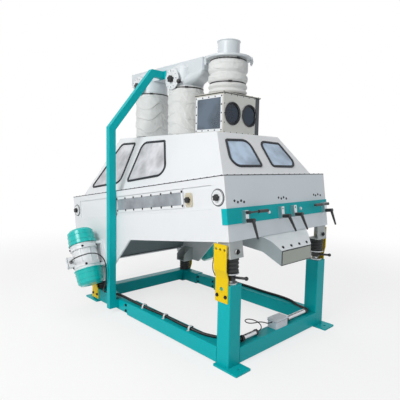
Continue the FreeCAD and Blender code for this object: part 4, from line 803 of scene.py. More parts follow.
def addHeadBox(spec):
    window = spec["window"]
    bm = bmesh.new()
    corners = rectangle(
        lambda y, z: Vector((spec["left"], y, z)), (window["near"], window["low"]), (window["far"], window["top"]),
    )
    frameStrip(bm, corners, -across, window["rim"], window["thick"])
    addPiece("boxWindowFrame", bm, "white", edge=0.0006)
    edge = spec["windowScrewEdge"]
    corners = rectangle(
        lambda y, z: Vector((spec["left"] - window["thick"], y, z)),
        (window["near"] - edge, window["low"] - edge), (window["far"] + edge, window["top"] + edge),
    )
    panScrews("boxWindowScrews", edgeRows(corners, 5, 5), -across, spec["screwRadius"])
    face = spec["faceOut"]
    edge = spec["screwEdge"]
    corners = rectangle(
        lambda x, z: Vector((x, face, z)),
        (spec["left"] + edge, spec["low"] + edge), (spec["plateRight"] - edge, spec["top"] - edge),
    )
    panScrews("facePlateScrews", edgeRows(corners, 5, 6), -along, spec["screwRadius"])
    rings = bmesh.new()
    seals = bmesh.new()
    radius = spec["portRadius"]
    for x in spec["ports"]:
        middle = Vector((x, face - 0.005, spec["portHeight"]))
        addRing(rings, middle, -along, radius + 0.0045, radius - 0.004, 0.003, 72)
        middle = Vector((x, face - 0.0005, spec["portHeight"]))
        addRing(seals, middle, -along, radius - 0.004, radius - 0.010, 0.0018, 72)
    addPiece("portRings", rings, "gasket", smooth=True)
    addPiece("portSeals", seals, "blackSteel", smooth=True)
    # The gasket is a thin line under the lid's overhang
    gasket = bmesh.new()
    lid = spec["lid"]
    inset = lid["inset"]
    corners = rectangle(
        lambda x, y: Vector((x, y, spec["top"] - lid["drop"])),
        (spec["left"] + inset, face + inset), (spec["right"] - inset, spec["far"] - inset),
    )
    frameStrip(gasket, corners, up, lid["bar"], lid["bar"])
    addPiece("lidGasket", gasket, "gasket")
    bolts = spec["lidBolts"]
    ends = [Vector((side * bolts["half"], bolts["near"], bolts["height"])) for side in (-1, 1)]
    places = spaced(*ends, 6)
    for corner in ends:
        places += spaced(corner, Vector((corner.x, bolts["far"], corner.z)), 5)[1:]
    hexBolts("lidBolts", places, up, lid["boltRadius"])


addHeadBox(headBox)
print("stage: head box")

# The casing's top edge: dark sealing strips, which also paint the shadow gap under the hood's flange, and the screws of
# the hood's flange

casingTrim = {
    "proud": 0.0002, "lift": 0.0005, "lineWidth": 0.0016, "lineHeight": 0.0045, "flangeTop": 0.003,
    "screwInset": 0.014, "endGap": 0.03, "frontGap": 0.04, "sideScrews": 32, "frontScrews": 17, "radius": 0.0034,
}


def addCasingTrim(spec):
    strips = bmesh.new()
    axes = (across, slopeWay, -downWay)
    for side in (-1, 1):
        middle = onCasing(side * (casingHalf + spec["proud"]), casingLength / 2, spec["lift"])
        addBlock(strips, middle, axes, (spec["lineWidth"], casingLength - 0.004, spec["lineHeight"]))
    size = (2 * casingHalf - 0.002, spec["lineWidth"], spec["lineHeight"])
    addBlock(strips, onCasing(0, -spec["proud"], spec["lift"]), axes, size)
    # Dark rubber lines: seals, and painted shadow of the gap under the hood's flange.
    addPiece("casingSealAndShadowGap", strips, "gasket")
    inset = spec["screwInset"]
    top = -spec["flangeTop"]
    gap = spec["endGap"]
    places = []
    for x in (inset - casingHalf, casingHalf - inset):
        places += spaced(onCasing(x, gap, top), onCasing(x, casingLength - gap, top), spec["sideScrews"])
    end = casingHalf - spec["frontGap"]
    places += spaced(onCasing(-end, inset, top), onCasing(end, inset, top), spec["frontScrews"])
    panScrews("flangeScrews", places, -downWay, spec["radius"])


addCasingTrim(casingTrim)

# Round covers: the gasket's dark edge, and the line inside the cover's rim

covers = {"along": (0.054, 1.655), "down": 0.111, "radius": 0.043, "thick": 0.006}


def addCovers(spec):
    seals = bmesh.new()
    radius = spec["radius"]
    for l in spec["along"]:
        for side in (-1, 1):
            out = across * side
            middle = onCasing(side * casingHalf, l, spec["down"])
            addRing(seals, middle, out, radius + 0.003, radius - 0.002, 0.003, 64)
            addRing(seals, middle + out * spec["thick"], out, radius - 0.001, radius - 0.004, 0.0005, 64)
    addPiece("coverSeals", seals, "gasket", smooth=True)


addCovers(covers)

# Slope gauge: the scale on its plate, longer at every fourth mark

gauge = {
    "along": 0.288, "down": 0.110, "face": -0.482, "width": 0.062, "height": 0.080, "screwEdge": 0.008,
    "marks": 9, "firstMark": 200, "markStep": 17.5, "markRadius": 0.0265, "lengths": (0.006, 0.0035),
}


def addGauge(spec):
    marks = bmesh.new()
    middle = onCasing(spec["face"] - 0.0003, spec["along"], spec["down"])
    for i in range(spec["marks"]):
        angle = math.radians(spec["firstMark"] + i * spec["markStep"])
        way = slopeWay * math.cos(angle) - downWay * math.sin(angle)
        size = (0.0004, spec["lengths"][0 if i % 4 == 0 else 1], 0.0009)
        addBlock(marks, middle + way * spec["markRadius"], (across, way, way.cross(across)), size)
    addPiece("gaugeMarks", marks, "plastic")
    halfL = spec["width"] / 2 - spec["screwEdge"]
    halfH = spec["height"] / 2 - spec["screwEdge"]
    places = [
        onCasing(spec["face"], spec["along"] + i * halfL, spec["down"] + j * halfH) for i in (-1, 1) for j in (-1, 1)
    ]
    panScrews("gaugeScrews", places, -across, 0.0032, "zinc")


addGauge(gauge)
print("stage: casing trim")

# Stone spout: a tapering shell under the front panel, its mouth plate with a dark rim, bolts near its lip

spout = {
    "top": ((-0.635, 0.670), (-0.7225, 0.6822), (-0.764, 0.656), (-0.807, 0.606)),
    "wearAndHighlightColor": ((-0.807, 0.521), (-0.728, 0.598), (-0.635, 0.632)),
    "mouthHalf": 0.148, "mouth": -0.807, "backHalf": 0.296, "back": -0.635, "sheet": 0.003,
    "topFold": 0.012, "underFold": 0.008, "plateGap": 0.005, "plateThick": 0.0022,
    "bolts": (-0.120, -0.040, 0.040, 0.118), "boltBack": 0.020, "boltRadius": 0.0058,
}


def spoutSide(spec, point, side):
    share = (point.y - spec["mouth"]) / (spec["back"] - spec["mouth"])
    return point + across * (side * (spec["mouthHalf"] + (spec["backHalf"] - spec["mouthHalf"]) * share))


def softened(points, reach, steps):
    # The line through the points with each fold rolled to a curve.
    result = [points[0]]
    for before, corner, after in zip(points, points[1:], points[2:]):
        start = corner + (before - corner).normalized() * reach(before, corner, after)
        end = corner + (after - corner).normalized() * reach(before, corner, after)
        for i in range(steps + 1):
            share = i / steps
            result.append(start.lerp(corner, share).lerp(corner.lerp(end, share), share))
    return result + [points[-1]]


def addSpout(spec):
    roof, floor = (
        softened([Vector((0, y, z)) for y, z in spec[run]], lambda *corner: spec[fold], 5)
        for run, fold in (("top", "topFold"), ("wearAndHighlightColor", "underFold"))
    )
    shell = bmesh.new()
    for run in (roof, floor):
        rows = [[shell.verts.new(spoutSide(spec, p, side)) for side in (-1, 1)] for p in run]
        for a, b in zip(rows, rows[1:]):
            shell.faces.new((a[0], a[1], b[1], b[0]))
    for side in (-1, 1):
        addSheet(shell, [spoutSide(spec, p, side) for p in roof + floor], [], across * side)
    bmesh.ops.remove_doubles(shell, verts=shell.verts, dist=0.0001)
    obj = addPiece("spoutShell", shell, "spout", node="stone_spout")
    # Side walls get the darker copy, painted shade; the top and underside get the lighter copy, painted light.
    obj.data.materials.append(materials["spoutSide"])
    for polygon in obj.data.polygons:
        polygon.material_index = 1 if abs(polygon.normal.x) > 0.5 else 0
    thicken(obj, spec["sheet"], -1)
    lip = roof[-1]
    low = floor[0]
    thick = spec["plateThick"]
    middle = Vector((0, spec["mouth"] - thick / 2, (lip.z + low.z) / 2))
    halfWide = spec["mouthHalf"] - spec["plateGap"]
    halfHigh = (lip.z - low.z) / 2 - spec["plateGap"]
    plate = bmesh.new()
    addBlock(plate, middle, (across, along, up), (2 * halfWide, thick, 2 * halfHigh))
    addPiece("mouthPlate", plate, "mouth", edge=0.0008)
    # A dark rubber frame round the mouth plate, which also paints the shadow at the edge of the mouth.
    rim = bmesh.new()
    corners = rectangle(
        lambda x, z: middle + Vector((x, -0.0001, z)), (-halfWide, -halfHigh), (halfWide, halfHigh),
    )
    frameStrip(rim, corners, -along, 0.003, 0.0014)
    addPiece("mouthSealAndShadow", rim, "gasket")
    slope = (lip - Vector((0, *spec["top"][2]))).normalized()
    places = [lip - slope * spec["boltBack"] + across * x for x in spec["bolts"]]
    hexBolts("lipBolts", places, slope.cross(across).normalized(), spec["boltRadius"])


addSpout(spout)
print("stage: spout")

# Rubber springs, turned with rolled ribs

springs = {
    "ends": {
        "front": {"y": -0.680, "low": 0.511, "high": 0.592, "node": "front_springs"},
        "rear": {"y": 0.660, "low": 0.098, "high": 0.182, "node": "rear_springs"},
    },
    "x": {"Left": -0.425, "Right": 0.425},
    "radius": 0.0455, "waist": 0.0385, "ribs": 4, "ribSteps": 12, "roll": 0.55, "sides": 48,
}


def addSpring(name, spec, x, level):
    steps = spec["ribSteps"] * spec["ribs"]
    bm = bmesh.new()
    loops = []
    for i in range(steps + 1):
        wave = abs(math.sin(math.pi * spec["ribs"] * i / steps)) ** spec["roll"]
        height = level["low"] + (level["high"] - level["low"]) * i / steps
        radius = spec["waist"] + (spec["radius"] - spec["waist"]) * wave
        loops.append(circle(Vector((x, level["y"], height)), radius, count=spec["sides"]))
    rows = addLoops(bm, loops)
    bm.faces.new(rows[0][::-1])
    bm.faces.new(rows[-1])
    addBlended(name, finishMesh(bm, name), "rubber", level["node"])


for springEnd, springLevel in springs["ends"].items():
    for springSide, springX in springs["x"].items():
        addSpring(springEnd + "Spring" + springSide, springs, springX, springLevel)
print("stage: springs")

# Vibration motors: cap rims and beads, body bands with their bolts, terminal lid and gland

motors = {
    "place": Vector((-0.605, 0.581, 0.380)), "tilt": math.radians(27), "bodyHalf": 0.092, "capRadius": 0.098,
    "beads": ((0.030, 0.0002, 0.006), (0.068, 0.0024, 0.008)),
    "bandRadius": 0.0975, "bandInner": 0.078, "bandHeight": 0.026, "bandInset": 0.040,
    "bolts": 5, "boltTurn": 0.35, "washer": (0.0088, 0.0084, 0.0020), "head": (0.0062, 0.0058, 0.0046),
    "terminalAngle": math.radians(160), "terminalRadius": 0.108, "terminalDrop": 0.020, "terminalSize": 0.072,
    "terminalHeight": 0.046, "lidThick": 0.0044, "screwEdge": 0.007, "screwRadius": 0.0032,
    "glandRadius": 0.0108, "glandLength": 0.016,
    "gland": (
        (0, 1.28, 1.28, 0.32, 6), (0.32, 1.12, 0.98, 0.09, 24), (0.44, 1.12, 0.98, 0.09, 24),
        (0.56, 1.12, 0.98, 0.09, 24), (0.68, 1.12, 0.98, 0.09, 24), (0.80, 1.12, 0.98, 0.09, 24),
        (0.3, 1.0, 0.92, 0.66, 24), (0.96, 0.8, 0.5, 0.3, 24),
    ),
}


def addMotorDetails(spec, side, tag):
    # side is -1 for the left motor, which the camera sees, and 1 for the right one.
    axis = Vector((0, math.sin(spec["tilt"]), math.cos(spec["tilt"])))
    level = Vector((0, math.cos(spec["tilt"]), -math.sin(spec["tilt"])))
    inward = across * -side
    place = spec["place"] if side < 0 else opposite(spec["place"])
    beads, rims, bands, bolts = (bmesh.new() for i in range(4))
    capRadius = spec["capRadius"]
    for end in (axis, -axis):
        start = place + end * (spec["bodyHalf"] + 0.0008)
        addRing(rims, start, end, capRadius + 0.0035, capRadius - 0.004, 0.007, 72)
        for rise, outerCut, innerCut in spec["beads"]:
            start = place + end * (spec["bodyHalf"] + rise)
            addRing(beads, start, end, capRadius - outerCut, capRadius - innerCut, 0.0045, 72)
        band = place + end * (spec["bodyHalf"] - spec["bandInset"])
        addRing(bands, band, end, spec["bandRadius"], spec["bandInner"], spec["bandHeight"], 72)
        for i in range(spec["bolts"]):
            turn = ray(i + spec["boltTurn"], spec["bolts"])
            out = inward * turn.x + level * turn.y
            foot = band + end * (spec["bandHeight"] / 2) + out * (spec["bandRadius"] - 0.0008)
            addCone(bolts, foot, out, *spec["washer"])
            addCone(bolts, foot + out * spec["washer"][2], out, *spec["head"], 6)
    addPiece("capRims" + tag, rims, "gloss", smooth=True)
    addPiece("capBeads" + tag, beads, "gloss", smooth=True)
    addPiece("bodyBands" + tag, bands, "white")
    addPiece("bandBolts" + tag, bolts, "blackSteel")
    turn = Vector((math.cos(spec["terminalAngle"]), math.sin(spec["terminalAngle"])))
    outward = inward * turn.x + level * turn.y
    sideways = inward * -turn.y + level * turn.x
    axes = (outward, sideways, axis)
    root = place + outward * spec["terminalRadius"] - axis * spec["terminalDrop"]
    middle = root + outward * (spec["terminalHeight"] / 2)
    size = spec["terminalSize"]
    thick = spec["lidThick"]
    lid = bmesh.new()
    addBlock(lid, middle + outward * (thick / 2), axes, (thick, size + 0.003, size + 0.003))
    addPiece("terminalLid" + tag, lid, "boxPlastic", edge=0.0012)
    seal = bmesh.new()
    addBlock(seal, middle - outward * 0.0008, axes, (0.0016, size + 0.0012, size + 0.0012))
    addPiece("terminalSeal" + tag, seal, "rubber")
    reach = size / 2 - spec["screwEdge"]
    lidFace = middle + outward * thick
    places = [lidFace + sideways * (i * reach) + axis * (j * reach) for i in (-1, 1) for j in (-1, 1)]
    panScrews("terminalScrews" + tag, places, outward, spec["screwRadius"], "zinc")
    foot = root + sideways * (size / 2)
    gland = bmesh.new()
    length = spec["glandLength"]
    radius = spec["glandRadius"]
    for rise, low, high, height, sides in spec["gland"]:
        addCone(gland, foot + sideways * (length * rise), sideways, radius * low, radius * high, length * height, sides)
    addPiece("cableGland" + tag, gland, "plastic")


addMotorDetails(motors, -1, "Left")
addMotorDetails(motors, 1, "Right")
print("stage: motors")

# Conduits, hoses and couplings along the rails

conduits = {
    "routes": {
        "leftConduit": (
            (-0.456, 0.424, 0.112), (-0.434, 0.404, 0.107), (-0.430, 0.340, 0.107), (-0.434, 0.210, 0.107),
            (-0.436, 0.060, 0.107), (-0.425, -0.130, 0.107), (-0.434, -0.320, 0.107), (-0.426, -0.490, 0.107),
            (-0.396, -0.572, 0.108), (-0.370, -0.620, 0.112), (-0.361, -0.662, 0.115), (-0.345, -0.684, 0.117),
            (-0.325, -0.684, 0.117),
        ),
        "rightConduit": (
            (0.318, -0.684, 0.117), (0.342, -0.684, 0.117), (0.361, -0.662, 0.115), (0.370, -0.620, 0.112),
            (0.394, -0.564, 0.109), (0.436, -0.500, 0.107), (0.452, -0.400, 0.107), (0.445, -0.240, 0.107),
            (0.455, -0.060, 0.107), (0.452, 0.120, 0.107), (0.455, 0.270, 0.107), (0.470, 0.304, 0.112),
        ),
        "linkConduit": ((0.070, -0.684, 0.117), (0.078, -0.684, 0.117), (0.086, -0.684, 0.117), (0.092, -0.684, 0.117)),
    },
    "step": 0.0013, "radii": (0.0092, 0.0088, 0.0076, 0.0088), "sides": 14,
}
hoses = {
    "ends": {"leftHose": (-0.325, -0.190), "rightHose": (0.092, 0.318)},
    "y": -0.684, "height": 0.117, "step": 0.0011, "radii": (0.0152, 0.0147, 0.0134, 0.0147), "sides": 28,
    "nut": (0.0188, 0.0188, 0.0085), "collar": (0.0182, 0.0168, 0.0085),
}


def roundedPath(route, step):
    # The route as straight runs and tangent arcs, sampled at even steps.
    def reach(before, corner, after):
        return 0.45 * min((before - corner).length, (after - corner).length)

    dense = softened([Vector(p) for p in route], reach, 8)
    path = [dense[0]]
    left = step
    for a, b in zip(dense, dense[1:]):
        run = (b - a).length
        while left <= run:
            path.append(a.lerp(b, left / run))
            left += step
        left -= run
    if (path[-1] - dense[-1]).length > step * 0.2:
        path.append(dense[-1])
    return path


def sweptTube(route, spec):
    # A tube whose radius runs through spec's radii again and again, which makes its ribs.
    path = roundedPath(route, spec["step"])
    loops = []
    side = (path[1] - path[0]).cross(up).normalized()
    for i, point in enumerate(path):
        ahead = (path[min(i + 1, len(path) - 1)] - path[max(i - 1, 0)]).normalized()
        side = (side - ahead * side.dot(ahead)).normalized()
        radius = spec["radii"][i % len(spec["radii"])]
        loops.append(circle(point, radius, (side, side.cross(ahead)), spec["sides"]))
    bm = bmesh.new()
    rows = addLoops(bm, loops)
    bm.faces.new(rows[0])
    bm.faces.new(rows[-1][::-1])
    return bm


def addWiring(conduitSpec, hoseSpec):
    for name, route in conduitSpec["routes"].items():
        tube = sweptTube(route, conduitSpec)
        addPiece(name, tube, "conduit", "base_frame", smooth=True, node="cable_conduits")
    for name, ends in hoseSpec["ends"].items():
        start, end = (Vector((x, hoseSpec["y"], hoseSpec["height"])) for x in ends)
        tube = sweptTube((start, start.lerp(end, 0.5), end), hoseSpec)
        addPiece(name, tube, "hose", "base_frame", smooth=True, node="cable_conduits")
        nuts = bmesh.new()
        for foot, axis in ((start, across), (end, -across)):
            addCone(nuts, foot - axis * 0.0005, axis, *hoseSpec["nut"], 6)
            addCone(nuts, foot + axis * 0.008, axis, *hoseSpec["collar"], 28)
        addPiece(name + "Couplings", nuts, "plastic", "base_frame", edge=0.0006, node="cable_conduits")


addWiring(conduits, hoses)
print("stage: wiring")

# Hood: folded sheets with rubber-gasketed windows, its foot set in from the casing's edge

hood = {
    "sideInset": 0.056, "frontInset": 0.058, "far": 1.646, "top": 1.262, "topHalf": 0.293,
    "topNear": -0.430, "topFar": 0.740, "sheet": 0.003, "rimGap": 0.001,
    "ducts": (0.185, 0.600), "collarRadius": 0.122, "collarHeight": 0.040,
    "sideWindows": (
        ((0.076, 1.225), (-0.092, 1.001), (0.354, 0.935), (0.353, 1.219)),
        ((0.461, 1.219), (0.446, 0.924), (0.875, 0.860), (0.667, 1.216)),
    ),
    "frontWindow": ((-0.257, 1.218), (-0.052, 1.225), (-0.048, 1.064), (-0.327, 1.062)),
    "radii": (0.022, 0.056, 0.022, 0.056), "cornerSteps": 8,
    "rubber": (
        (-0.0040, 0), (-0.0040, 0.0036), (-0.001, 0.0062), (0.005, 0.0068), (0.010, 0.0056), (0.0125, 0.0026),
        (0.0125, -0.006),
    ),
    "paneInset": 0.0115, "paneFaces": (0.0005, -0.0035),
}


def roundedOutline(corners, radii, steps):
    points = []
    for i, corner in enumerate(corners):
        before = (corners[i - 1] - corner).normalized()
        after = (corners[(i + 1) % len(corners)] - corner).normalized()
        half = before.angle(after) / 2
        middle = corner + (before + after).normalized() * (radii[i] / math.sin(half))
        start = corner + before * (radii[i] / math.tan(half)) - middle
        end = corner + after * (radii[i] / math.tan(half)) - middle
        points += [middle + start.slerp(end, j / steps) * radii[i] for j in range(steps + 1)]
    return points


def onSheet(foot, normal, y, z):
    # The point of the sheet through foot, square to normal, at this y and z.
    return Vector((foot.x - (normal.y * (y - foot.y) + normal.z * (z - foot.z)) / normal.x, y, z))


def hoodFrame(spec):
    # The left sheet's corners and its outward normal.
    foot = casingHalf - spec["sideInset"]
    nearBase = onCasing(-foot, spec["frontInset"], 0)
    farBase = onCasing(-foot, spec["far"], 0)
    nearTop = Vector((-spec["topHalf"], spec["topNear"], spec["top"]))
    normal = (farBase - nearBase).cross(nearTop - nearBase).normalized()
    if normal.x > 0:
        normal = -normal
    return nearBase, farBase, onSheet(nearBase, normal, spec["topFar"], spec["top"]), nearTop, normal


def hoodWindows(spec):
    # Each window's rounded outline with its sheet's outward normal.
    nearBase, farBase, farTop, nearTop, normal = hoodFrame(spec)
    windows = []
    for corners in spec["sideWindows"]:
        placed = [onSheet(nearBase, normal, y, z) for y, z in corners]
        outline = roundedOutline(placed, spec["radii"], spec["cornerSteps"])
        windows.append(("left", outline, normal))
        windows.append(("right", [opposite(p) for p in outline], opposite(normal)))
    rise = nearTop - nearBase
    frontNormal = Vector((0, -rise.z, rise.y)).normalized()
    placed = [Vector((x, nearBase.y + rise.y * (z - nearBase.z) / rise.z, z)) for x, z in spec["frontWindow"]]
    outline = roundedOutline(placed, spec["radii"], spec["cornerSteps"])
    windows.append(("front", outline, frontNormal))
    windows.append(("front", [opposite(p) for p in outline], frontNormal))
    return windows


def addHood(spec, windows):
    corners = hoodFrame(spec)[:4]
    nearBase, farBase, farTop, nearTop = corners
    mirror = [opposite(p) for p in corners]
    holes = {side: [w[1] for w in windows if w[0] == side] for side in ("left", "right", "front")}
    ducts = [circle(Vector((0, y, spec["top"])), spec["collarRadius"]) for y in spec["ducts"]]
    edge = casingHalf - spec["rimGap"]
    rim = rectangle(
        lambda x, l: onCasing(x, l, 0), (-edge, spec["rimGap"]), (edge, casingLength - spec["rimGap"]),
    )
    bm = bmesh.new()
    addSheet(bm, list(corners), holes["left"], -across)
    addSheet(bm, mirror, holes["right"], across)
    addSheet(bm, [nearBase, nearTop, mirror[3], mirror[0]], holes["front"], -along)
    addSheet(bm, [farBase, farTop, mirror[2], mirror[1]], [], along)
    addSheet(bm, [nearTop, farTop, mirror[2], mirror[3]], ducts, up)
    addSheet(bm, rim, [[nearBase, farBase, mirror[1], mirror[0]]], -downWay)
    for loop in ducts:
        addLoops(bm, [loop, [p + up * spec["collarHeight"] for p in loop]])
    bmesh.ops.remove_doubles(bm, verts=bm.verts, dist=0.0001)
    thicken(addPiece("hoodShell", bm, "white", node="hood", turnOut=False), spec["sheet"], -1, even=True)


def insetLoop(outline, normal, distance):
    moved = []
    count = len(outline)
    centre = sum(outline, Vector()) / count
    for i, point in enumerate(outline):
        way = (outline[(i + 1) % count] - outline[i - 1]).normalized()
        inward = normal.cross(way).normalized()
        if inward.dot(centre - point) < 0:
            inward = -inward
        moved.append(point + inward * distance)
    return moved


def addWindowTrim(spec, windows):
    # Rubber profiles round each window, and the panes that they hold.
    rubber = bmesh.new()
    glasses = {"side": bmesh.new(), "front": bmesh.new()}
    for side, outline, normal in windows:
        addLoops(rubber, [[p + normal * rise for p in insetLoop(outline, normal, step)] for step, rise in spec["rubber"]])
        glass = glasses["front" if side == "front" else "side"]
        inner = insetLoop(outline, normal, spec["paneInset"])
        front, back = addLoops(glass, [[p + normal * rise for p in inner] for rise in spec["paneFaces"]])
        glass.faces.new(front)
        glass.faces.new(back[::-1])
    addPiece("windowRubbers", rubber, "gasket", smooth=True, node="window_gaskets")
    addPiece("sidePanes", glasses["side"], "pane", node="window_panes")
    addPiece("frontPanes", glasses["front"], "frontPanePaintedSheen", node="window_panes")


hoodOpenings = hoodWindows(hood)
addHood(hood, hoodOpenings)
addWindowTrim(hood, hoodOpenings)


def addSights(spec):
    # The head box's own panes: a slab in the left window and a disc in each port.
    window = spec["window"]
    long = window["far"] - window["near"]
    high = window["top"] - window["low"]
    middle = Vector((spec["left"] + 0.0015, window["near"] + long / 2, window["low"] + high / 2))
    glass = bmesh.new()
    addBlock(glass, middle, (across, along, up), (0.003, long, high))
    addPiece("boxPane", glass, "slatePane", node="window_panes")
    discs = bmesh.new()
    for x in spec["ports"]:
        foot = Vector((x, spec["near"] + 0.003, spec["portHeight"]))
        addCone(discs, foot, -along, spec["portRadius"], spec["portRadius"], 0.006, 64)
    addPiece("portGlasses", discs, "portPane", node="window_panes")


addSights(headBox)
print("stage: hood")

# Window strip: a screwed white rail round a long pane

strip = {
    "near": 0.351, "far": 1.044, "middle": 0.099, "half": 0.037, "rail": 0.017, "face": -0.4800, "thick": 0.0025,
    "pane": {"middle": 0.6975, "depth": 0.001, "size": (0.002, 0.697, 0.078)},
}


def addStrip(spec):
    rails = bmesh.new()
    glass = bmesh.new()
    sheet = spec["pane"]
    low = spec["middle"] - spec["half"]
    high = spec["middle"] + spec["half"]
    for side in (-1, 1):
        x = spec["face"] * -side
        holes = rectangle(lambda l, h: onCasing(x, l, h), (spec["near"], low), (spec["far"], high))
        frameStrip(rails, holes, across * side, spec["rail"], spec["thick"])
        centre = onCasing(x - side * sheet["depth"], sheet["middle"], spec["middle"])
        addBlock(glass, centre, (across, slopeWay, downWay), sheet["size"])
    addPiece("stripRails", rails, "white", node="side_windows")
    addPiece("stripPanes", glass, "stripPane", node="side_windows")


addStrip(strip)

# Head box: light face plate round the ports, dark channel beside it

facePlate = {
    "left": -0.173, "right": 0.128, "low": 1.264, "top": 1.506, "face": -0.3622, "thick": 0.0010,
    "channel": {"middle": Vector((0.151, -0.3592, 1.385)), "size": (0.042, 0.0024, 0.242)},
}


def addFacePlate(spec, box):
    corners = rectangle(
        lambda x, z: Vector((x, spec["face"], z)), (spec["left"], spec["low"]), (spec["right"], spec["top"]),
    )
    ports = [
        circle(Vector((x, spec["face"], box["portHeight"])), box["portRadius"], (across, up)) for x in box["ports"]
    ]
    bm = bmesh.new()
    addSheet(bm, corners, ports, -along)
    thicken(addPiece("facePlate", bm, "light", turnOut=False), spec["thick"], 1)
    channel = bmesh.new()
    addBlock(channel, spec["channel"]["middle"], (across, along, up), spec["channel"]["size"])
    addPiece("sideChannel", channel, "dark", edge=0.0008)


addFacePlate(facePlate, headBox)

# Exhaust ducting: the shoulder from the square trunk to the near stub, and the scales on the index plates

shoulder = {
    "centre": Vector((0, 0.185, 1.626)), "radius": 0.1235, "high": 1.702, "half": 0.071, "near": -0.060,
    "far": 0.310, "sheet": 0.0015, "sides": 64,
}
indexPlate = {
    "face": -0.1485, "height": 1.665, "stubs": (0.185, 0.600), "marks": 12, "markRadius": 0.057,
    "lengths": (0.014, 0.008),
}


def addShoulder(spec):
    # A square-to-round sheet between the trunk's underside and the near stub.
    middle = Vector((0, (spec["near"] + spec["far"]) / 2, spec["high"]))
    halfLong = (spec["far"] - spec["near"]) / 2
    square = []
    for i in range(spec["sides"]):
        way = ray(i, spec["sides"])
        square.append(middle + way * min(spec["half"] / max(abs(way.x), 0.001), halfLong / max(abs(way.y), 0.001)))
    bm = bmesh.new()
    addLoops(bm, [circle(spec["centre"], spec["radius"], count=spec["sides"]), square])
    thicken(addPiece("trunkShoulder", bm, "duct", "base_frame", smooth=True), spec["sheet"], 1)


def addIndexScales(spec):
    marks = bmesh.new()
    for y in spec["stubs"]:
        middle = Vector((spec["face"], y, spec["height"]))
        for i in range(spec["marks"]):
            turn = ray(i, spec["marks"])
            way = along * turn.x + up * turn.y
            size = (0.0006, spec["lengths"][0 if i % 3 == 0 else 1], 0.003)
            addBlock(marks, middle + way * spec["markRadius"], (across, way, way.cross(across)), size)
    addPiece("indexMarks", marks, "plastic", "base_frame")


addShoulder(shoulder)
addIndexScales(indexPlate)
print("stage: ducting")

# Fabric sleeves: gathered at their clamp straps, sagging in folds between them

ductSleeve = {
    "low": 1.264, "high": 1.616, "grip": 0.1240, "belly": 0.005, "pinches": (1.273, 1.607),
    "straps": (1.273, 1.607), "node": "duct_sleeves",
}
sleeves = {
    "nearDuctSleeve": {
        **ductSleeve, "middle": (0.0, 0.185), "sags": 4.6, "sagDepth": 0.0085, "slant": 0.0105, "seed": 3.0,
    },
    "farDuctSleeve": {
        **ductSleeve, "middle": (0.0, 0.6), "sags": 4.2, "sagDepth": 0.0110, "slant": 0.0045, "seed": 11.0,
    },
    "inletSleeve": {
        "low": 1.516, "high": 1.746, "grip": 0.1160, "belly": 0.0125, "pinches": (1.5215, 1.554, 1.5935, 1.654, 1.739),
        "straps": (1.5215, 1.5935, 1.739), "node": "inlet_sleeve", "middle": (0.0, -0.23), "sags": 7.0,
        "sagDepth": 0.0028, "slant": 0.0040, "seed": 27.0,
    },
}
sleeveMesh = {"around": 224, "rings": 190}
strap = {"outer": 0.0030, "inner": 0.0004, "height": 0.008, "buckleOut": 0.005, "buckle": (0.007, 0.024, 0.011)}


def sagWave(value):
    # A fold that fills out slowly downward and tucks in at once below.
    share = -value % 1
    tuck = min(1.0, (1 - share) / 0.14)
    return share ** 1.5 * tuck * tuck * (3 - 2 * tuck)


def sleeveSwell(spec, angle, height, share):
    # How far the cloth stands out from the grip: folds, slanting creases and crumple, held back at the straps.
    sample = Vector((math.cos(angle) * 1.1, math.sin(angle) * 1.1, height * 5 + spec["seed"]))
    drift = noise.noise(sample)
    hold = min(1.0, share * 12, (1 - share) * 12)
    free = 1.0
    for level in spec["pinches"]:
        free *= 1 - 0.95 * math.exp(-((height - level) / 0.011) ** 2)
    sag = sagWave(spec["sags"] * share + drift * 0.9 + 0.22 * math.sin(angle + spec["seed"]))
    slant = sagWave(angle * 4 / math.pi + share * 4.2 + drift * 1.8)
    crumple = noise.noise(sample * 5) * 0.0022 + noise.noise(sample * 11) * 0.0012
    gather = (1 - hold) * 0.0020 * math.sin(angle * 30 + spec["seed"])
    depth = spec["sagDepth"] * (0.75 + 0.7 * noise.noise(sample * 1.2 + Vector((5, 0, 0))))
    creases = spec["slant"] * max(0.0, 0.45 + drift) * (slant - 0.3)
    return free * (spec["belly"] + hold * (depth * (sag - 0.3) + creases + crumple)) + gather


def addSleeve(name, spec, grid):
    verts = []
    faces = []
    around = grid["around"]
    for j in range(grid["rings"] + 1):
        share = j / grid["rings"]
        height = spec["low"] + (spec["high"] - spec["low"]) * share
        for i in range(around):
            angle = 2 * math.pi * i / around
            radius = spec["grip"] + max(sleeveSwell(spec, angle, height, share), -0.0008)
            x, y = spec["middle"]
            verts.append((x + radius * math.cos(angle), y + radius * math.sin(angle), height))
    for j in range(grid["rings"]):
        for i in range(around):
            k = (i + 1) % around
            faces.append((j * around + i, j * around + k, (j + 1) * around + k, (j + 1) * around + i))
    mesh = bpy.data.meshes.new(name)
    mesh.from_pydata(verts, [], faces)
    addBlended(name, mesh, "cloth", spec["node"])


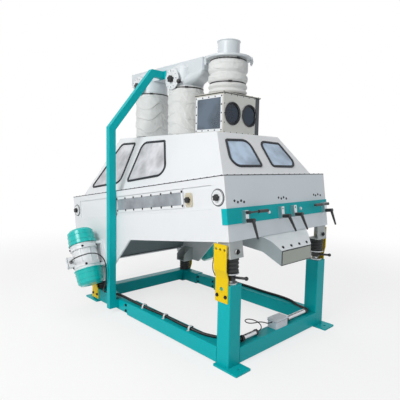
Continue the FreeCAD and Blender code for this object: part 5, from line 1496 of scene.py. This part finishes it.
def addStraps(name, spec, band):
    # The lowest strap is on the casing's collar, the others are on the frame's pipes.
    for i, level in enumerate(spec["straps"]):
        bm = bmesh.new()
        middle = Vector((*spec["middle"], level))
        foot = middle - up * (band["height"] / 2)
        addRing(bm, foot, up, spec["grip"] + band["outer"], spec["grip"] + band["inner"], band["height"], 96)
        turn = math.radians(205 + 25 * i)
        way = Vector((math.cos(turn), math.sin(turn), 0))
        addBlock(bm, middle + way * (spec["grip"] + band["buckleOut"]), (way, way.cross(up), up), band["buckle"])
        addPiece(name + "Strap" + str(i + 1), bm, "plastic", "casing" if i == 0 else "base_frame")


for sleeveName, sleeveSpec in sleeves.items():
    addSleeve(sleeveName, sleeveSpec, sleeveMesh)
    addStraps(sleeveName, sleeveSpec, strap)
print("stage: sleeves")

# Junction box lid, bolts of the front spring brackets, ball knob on the near stub

fittings = {
    "lidDrop": 0.0125, "sealCut": 0.001, "sealHeight": 0.0022, "screwEdge": 0.010, "screwRadius": 0.0038,
    "bracketBolts": (Vector((-0.423, -0.7290, 0.626)), Vector((0.423, -0.7290, 0.626))), "bracketRadius": 0.0095,
    "stub": Vector((0, 0.185, 1.643)), "stubRadius": 0.1225, "knobWay": Vector((-0.882, -0.471, 0)),
    "stem": (0.0055, 0.0050, 0.018), "knobOut": 0.026, "knobRadius": 0.0165,
}


def addSmallFittings(spec):
    low, high = (Vector(corner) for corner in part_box("junction_box"))
    cut = spec["sealCut"]
    seal = bmesh.new()
    middle = Vector(((low.x + high.x) / 2, (low.y + high.y) / 2, high.z - spec["lidDrop"]))
    addBlock(seal, middle, (across, along, up), (high.x - low.x - cut, high.y - low.y - cut, spec["sealHeight"]))
    addPiece("junctionSeal", seal, "rubber", "base_frame")
    edge = spec["screwEdge"]
    places = [Vector((x, y, high.z)) for x in (low.x + edge, high.x - edge) for y in (low.y + edge, high.y - edge)]
    panScrews("junctionScrews", places, up, spec["screwRadius"], "zinc", "base_frame")
    hexBolts("bracketBolts", spec["bracketBolts"], -along, spec["bracketRadius"])
    knob = bmesh.new()
    way = spec["knobWay"]
    foot = spec["stub"] + way * spec["stubRadius"]
    addCone(knob, foot, way, *spec["stem"], 16)
    place = Matrix.Translation(foot + way * spec["knobOut"])
    bmesh.ops.create_uvsphere(knob, u_segments=28, v_segments=18, radius=spec["knobRadius"], matrix=place)
    addPiece("stubKnob", knob, "plastic", "base_frame", smooth=True)


addSmallFittings(fittings)
print("stage: small fittings")
